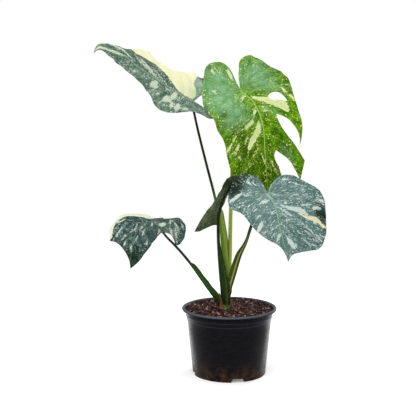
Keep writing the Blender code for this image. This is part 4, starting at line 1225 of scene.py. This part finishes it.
def make_stem():
    """Short green stem with the rings that old leaves left."""
    top = 0.1180
    profile = [(0.0010, top), (0.0056, top - 0.0004), (0.0063, top - 0.0016)]
    profile += [(0.00655 + 0.00028 * (1 + sin(z * 3100)), z) for z in np.arange(0.1150, 0.0990, -0.0016)]
    profile += [(0.0070, 0.0960), (0.0070, 0.0640), (0.0056, 0.0605), (0.0010, 0.0600)]
    stem = ring_stack("green_stem", profile, sides=32, centre=STEM_AXIS)
    skin = Finish("stem_skin", Roughness=0.4)
    blush = skin.grain(scale=260.0, detail=4.0, stretch=(1, 1, .4), depth=0.0004)
    colour = skin.mix(skin.ramp(skin.height(), .1145, .1065), shown((34, 60, 16)), shown((112, 160, 34)))
    skin.dress(stem, skin.mix(skin.ramp(blush, .5, .7, (0, .5)), colour, shown((70, 92, 34))))
    settle(stem)
    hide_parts("stem")


def make_dry_sheath():
    """Papery strip of a dead sheath, torn and ragged at its tip, with its foot round the stem."""
    rows, columns, inner, outer, fold = 40, 18, 0.1, 0.5, 0.12
    rng = np.random.default_rng(5)
    ragged = np.interp(np.arange(columns), np.linspace(0, columns - 1, 7), rng.uniform(-2.2, 1.2, 7))
    table = np.array(SCRAP, float)
    lines = read_at(np.linspace(table[0, 2], table[-1, 2], rows), table[:, 2], table)
    u = np.linspace(-1, 1, columns)
    points = []
    for shell in (inner, outer):
        for up, (x, y, z, half, bow, turn) in zip(np.linspace(0, 1, rows), lines):
            out = np.array([cos(radians(turn)), sin(radians(turn))])
            side = np.array([-out[1], out[0]])
            half = half * (1 + 0.10 * sin(31 * up + 1) * up)
            crease = fold * np.sin(9 * u + 6 * up)
            flat = (x, y) + np.outer(half * u, side) + np.outer(shell - bow * u * u + crease * up, out)
            points.append(np.c_[flat, z + ragged * up**3])
    n = rows * columns
    faces = []
    for a in range(n - columns):
        if a % columns < columns - 1:
            faces += [(a, a + columns, a + columns + 1, a + 1),
                      (n + a, n + a + 1, n + a + columns + 1, n + a + columns)]
    border = [*range(columns), *range(2 * columns - 1, n, columns), *range(n - 2, n - columns - 1, -1),
              *range(n - 2 * columns, 0, -columns)]
    faces += [(a, b, n + b, n + a) for a, b in zip(border, border[1:] + border[:1])]
    piece = new_piece("papery_sheath", np.concatenate(points) * MM, faces, outward=True)
    skin = Finish("dry_sheath_skin", Roughness=0.7)
    fibre = skin.grain(scale=260.0, detail=4.0, stretch=(5, 5, .6), depth=0.0005)
    colour = skin.mix(skin.ramp(fibre, .38, .64), shown((104, 58, 34)), shown((196, 124, 80)))
    skin.dress(piece, skin.mix(skin.ramp(skin.height(), .110, .119, (0, .75)), colour, shown((72, 40, 34))))
    settle(piece)
    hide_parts("dry_sheath")


def make_stage(stage):
    """Pale floor that fades into a white room, soft boxes and the camera."""
    floor = start_mesh("primitive_circle_add", vertices=96, radius=3.0, fill_type="NGON")
    bpy.ops.mesh.inset(thickness=2.0)
    finish_mesh(floor, "floor")
    skin = Finish("floor_paper", Roughness=0.9, Specular_IOR_Level=0.1, Emission_Color=(1, 1, 1, 1),
                  Emission_Strength=0.22)
    skin.dress(floor, (*stage.floor_colour, 1))
    away = skin.node("VectorMath", {0: skin.place()}, operation="LENGTH")["Value"]
    skin.put(Alpha=skin.ramp(away, 0.35, 1.3, (1, 0)))
    world = bpy.data.worlds.new("Studio")
    world.use_nodes = True
    room = Shading(world.node_tree)
    colour, strength = world.node_tree.nodes["Background"].inputs[:2]
    room.feed(colour, (*stage.sky_colour, 1))
    room.feed(strength, room.maths("MAXIMUM", room.node("LightPath", {})["Is Camera Ray"], stage.sky))
    bpy.context.scene.world = world
    for name, place, aim, size, power in (
            ("Top box", (-0.5, -0.7, 2.2), (0, 0, .2), (3.0, 3.0), stage.top),
            ("Front box", (-0.9, -2.0, 1.0), (0, 0, .3), (2.0, 2.0), stage.front),
            ("Left strip", (-0.60, 0.85, 0.60), (-.12, .2, 0), (0.35, 0.8), stage.left),
            ("Right strip", (0.60, 0.85, 0.60), (.14, .2, 0), (0.35, 0.8), stage.right)):
        bpy.ops.object.select_all(action="DESELECT")
        bpy.ops.object.light_add(type="AREA", location=place)
        lamp = bpy.context.object
        lamp.name = name
        lamp.data.shape = "RECTANGLE"
        lamp.data.size, lamp.data.size_y = size
        lamp.data.energy = power
        lamp.visible_camera = False
        lamp.rotation_euler = (Vector(aim) - Vector(place)).to_track_quat("-Z", "Y").to_euler()
    eye, looks_down, focal_pixels, frame_pixels = (-0.0337, -1.300, 0.406), 6.27, 835, 416
    bpy.ops.object.camera_add(location=eye, rotation=(radians(90 - looks_down), 0, 0))
    camera = bpy.context.object
    camera.name = "Camera"
    camera.data.sensor_width = 36
    camera.data.lens = focal_pixels / frame_pixels * camera.data.sensor_width
    camera.data.clip_end = 40
    bpy.context.scene.camera = camera
    bpy.context.scene.view_settings.view_transform = "Standard"


class PotSizes(bpy.types.PropertyGroup):
    rim_radius: FloatProperty(name="Rim radius", description="Outer edge of the rolled lip", default=0.0750,
                              unit="LENGTH")
    height: FloatProperty(name="Height", description="Top of the lip", default=0.1060, unit="LENGTH")
    band_radius: FloatProperty(name="Band radius", description="Wall just under the lip", default=0.0690,
                               unit="LENGTH")
    step_radius: FloatProperty(name="Step radius", description="Wall just under the step", default=0.0664,
                               unit="LENGTH")
    base_radius: FloatProperty(name="Base radius", description="Outer edge of the foot", default=0.0582,
                               unit="LENGTH")
    sides: IntProperty(name="Sides", description="Points round the pot", default=144)
    colour: FloatVectorProperty(name="Plastic", description="Colour of the plastic", subtype="COLOR",
                                default=(0.0030, 0.0031, 0.0035))


class SoilSizes(bpy.types.PropertyGroup):
    chips: IntProperty(name="Chips", description="Bark chips on the surface", default=3400)
    chip_size: FloatProperty(name="Chip size", description="Usual length of a chip", default=0.0040,
                             unit="LENGTH")
    perlite: IntProperty(name="Perlite", description="White grains on the surface", default=38)
    fibres: IntProperty(name="Fibres", description="Coir fibres on the surface", default=260)
    seed: IntProperty(name="Seed", description="Draw of the scattered pieces", default=3)


class LeafLook(bpy.types.PropertyGroup):
    mesh_step: FloatProperty(name="Mesh step", description="Mesh spacing across a blade", default=0.0022,
                             unit="LENGTH")
    thickness: FloatProperty(name="Thickness", description="Thickness of a blade", default=0.0006,
                             unit="LENGTH")
    midrib: FloatProperty(name="Midrib", description="How far the midrib stands out below", default=0.0020,
                          unit="LENGTH")
    puff: FloatProperty(name="Quilting", description="Swell of the blade between its side veins", default=1.0)


class StalkLook(bpy.types.PropertyGroup):
    rings: IntProperty(name="Rings", description="Rings along a stalk", default=110)
    knee: FloatProperty(name="Knee", description="Swelling just below the blade", default=0.14)


class StageLook(bpy.types.PropertyGroup):
    floor_colour: FloatVectorProperty(name="Floor", description="Colour of the floor", subtype="COLOR",
                                      default=(0.93, 0.93, 0.93))
    sky_colour: FloatVectorProperty(name="Sky", description="Colour of the even light", subtype="COLOR",
                                    default=(1.0, 1.0, 1.0))
    sky: FloatProperty(name="Sky strength", description="Strength of the even light", default=0.50)
    top: FloatProperty(name="Top box", description="Power of the overhead soft box in watts", default=50.0)
    front: FloatProperty(name="Front box", description="Power of the front soft box in watts", default=12.0)
    left: FloatProperty(name="Left strip", description="Power of the left strip in watts", default=0.5)
    right: FloatProperty(name="Right strip", description="Power of the right strip in watts", default=7.0)


class MONSTERA_OT_pot(bpy.types.Operator):
    """Add the nursery pot"""
    bl_idname = "monstera.pot"
    bl_label = "Nursery pot"

    def execute(self, context):
        make_pot(context.scene.monstera_pot)
        return {"FINISHED"}


class MONSTERA_OT_soil(bpy.types.Operator):
    """Add the soil with its bark, perlite and coir"""
    bl_idname = "monstera.soil"
    bl_label = "Soil"

    def execute(self, context):
        make_soil_bed(context.scene.monstera_pot)
        for make in (make_bark, make_perlite, make_fibres):
            make(context.scene.monstera_soil)
        return {"FINISHED"}


class MONSTERA_OT_stem(bpy.types.Operator):
    """Add the stem and the dry sheath at its foot"""
    bl_idname = "monstera.stem"
    bl_label = "Stem"

    def execute(self, context):
        make_stem()
        make_dry_sheath()
        return {"FINISHED"}


class MONSTERA_OT_stalks(bpy.types.Operator):
    """Add the five leaf stalks"""
    bl_idname = "monstera.stalks"
    bl_label = "Leaf stalks"

    def execute(self, context):
        for name, spec in PETIOLES.items():
            make_stalk(name, spec, context.scene.monstera_stalks)
        return {"FINISHED"}


class MONSTERA_OT_leaves(bpy.types.Operator):
    """Add the five blades"""
    bl_idname = "monstera.leaves"
    bl_label = "Leaves"

    def execute(self, context):
        for name, spec in LEAVES.items():
            make_leaf(name, spec, context.scene.monstera_leaves)
        return {"FINISHED"}


class MONSTERA_OT_stage(bpy.types.Operator):
    """Add the floor, the lights and the camera"""
    bl_idname = "monstera.stage"
    bl_label = "Stage"

    def execute(self, context):
        make_stage(context.scene.monstera_stage)
        return {"FINISHED"}


class MONSTERA_PT_panel(bpy.types.Panel):
    """Sizes and pieces of the plant"""
    bl_idname = "MONSTERA_PT_panel"
    bl_label = "Potted monstera"
    bl_space_type = "VIEW_3D"
    bl_region_type = "UI"
    bl_category = "Monstera"

    def draw(self, context):
        for piece in PIECES:
            box = self.layout.box()
            box.operator("monstera." + piece)
            if piece in SETTINGS:
                settings = getattr(context.scene, "monstera_" + piece)
                for key in settings.__annotations__:
                    box.prop(settings, key)


SETTINGS = {"pot": PotSizes, "soil": SoilSizes, "stalks": StalkLook, "leaves": LeafLook, "stage": StageLook}
PIECES = {"pot": MONSTERA_OT_pot, "soil": MONSTERA_OT_soil, "stem": MONSTERA_OT_stem,
          "stalks": MONSTERA_OT_stalks, "leaves": MONSTERA_OT_leaves, "stage": MONSTERA_OT_stage}
CLASSES = (*SETTINGS.values(), *PIECES.values(), MONSTERA_PT_panel)


def register():
    for item in CLASSES:
        bpy.utils.register_class(item)
    for piece, group in SETTINGS.items():
        setattr(bpy.types.Scene, "monstera_" + piece, PointerProperty(type=group))


def unregister():
    for piece in SETTINGS:
        delattr(bpy.types.Scene, "monstera_" + piece)
    for item in reversed(CLASSES):
        bpy.utils.unregister_class(item)


def main():
    register()
    for build in (grain_group, speck_group, vein_group, mottle_group, patch_group):
        build()
    bpy.ops.monstera.pot()
    bpy.ops.monstera.soil()
    bpy.ops.monstera.stem()
    bpy.ops.monstera.stalks()
    bpy.ops.monstera.leaves()
    bpy.ops.monstera.stage()


if __name__ == "__main__":
    main()
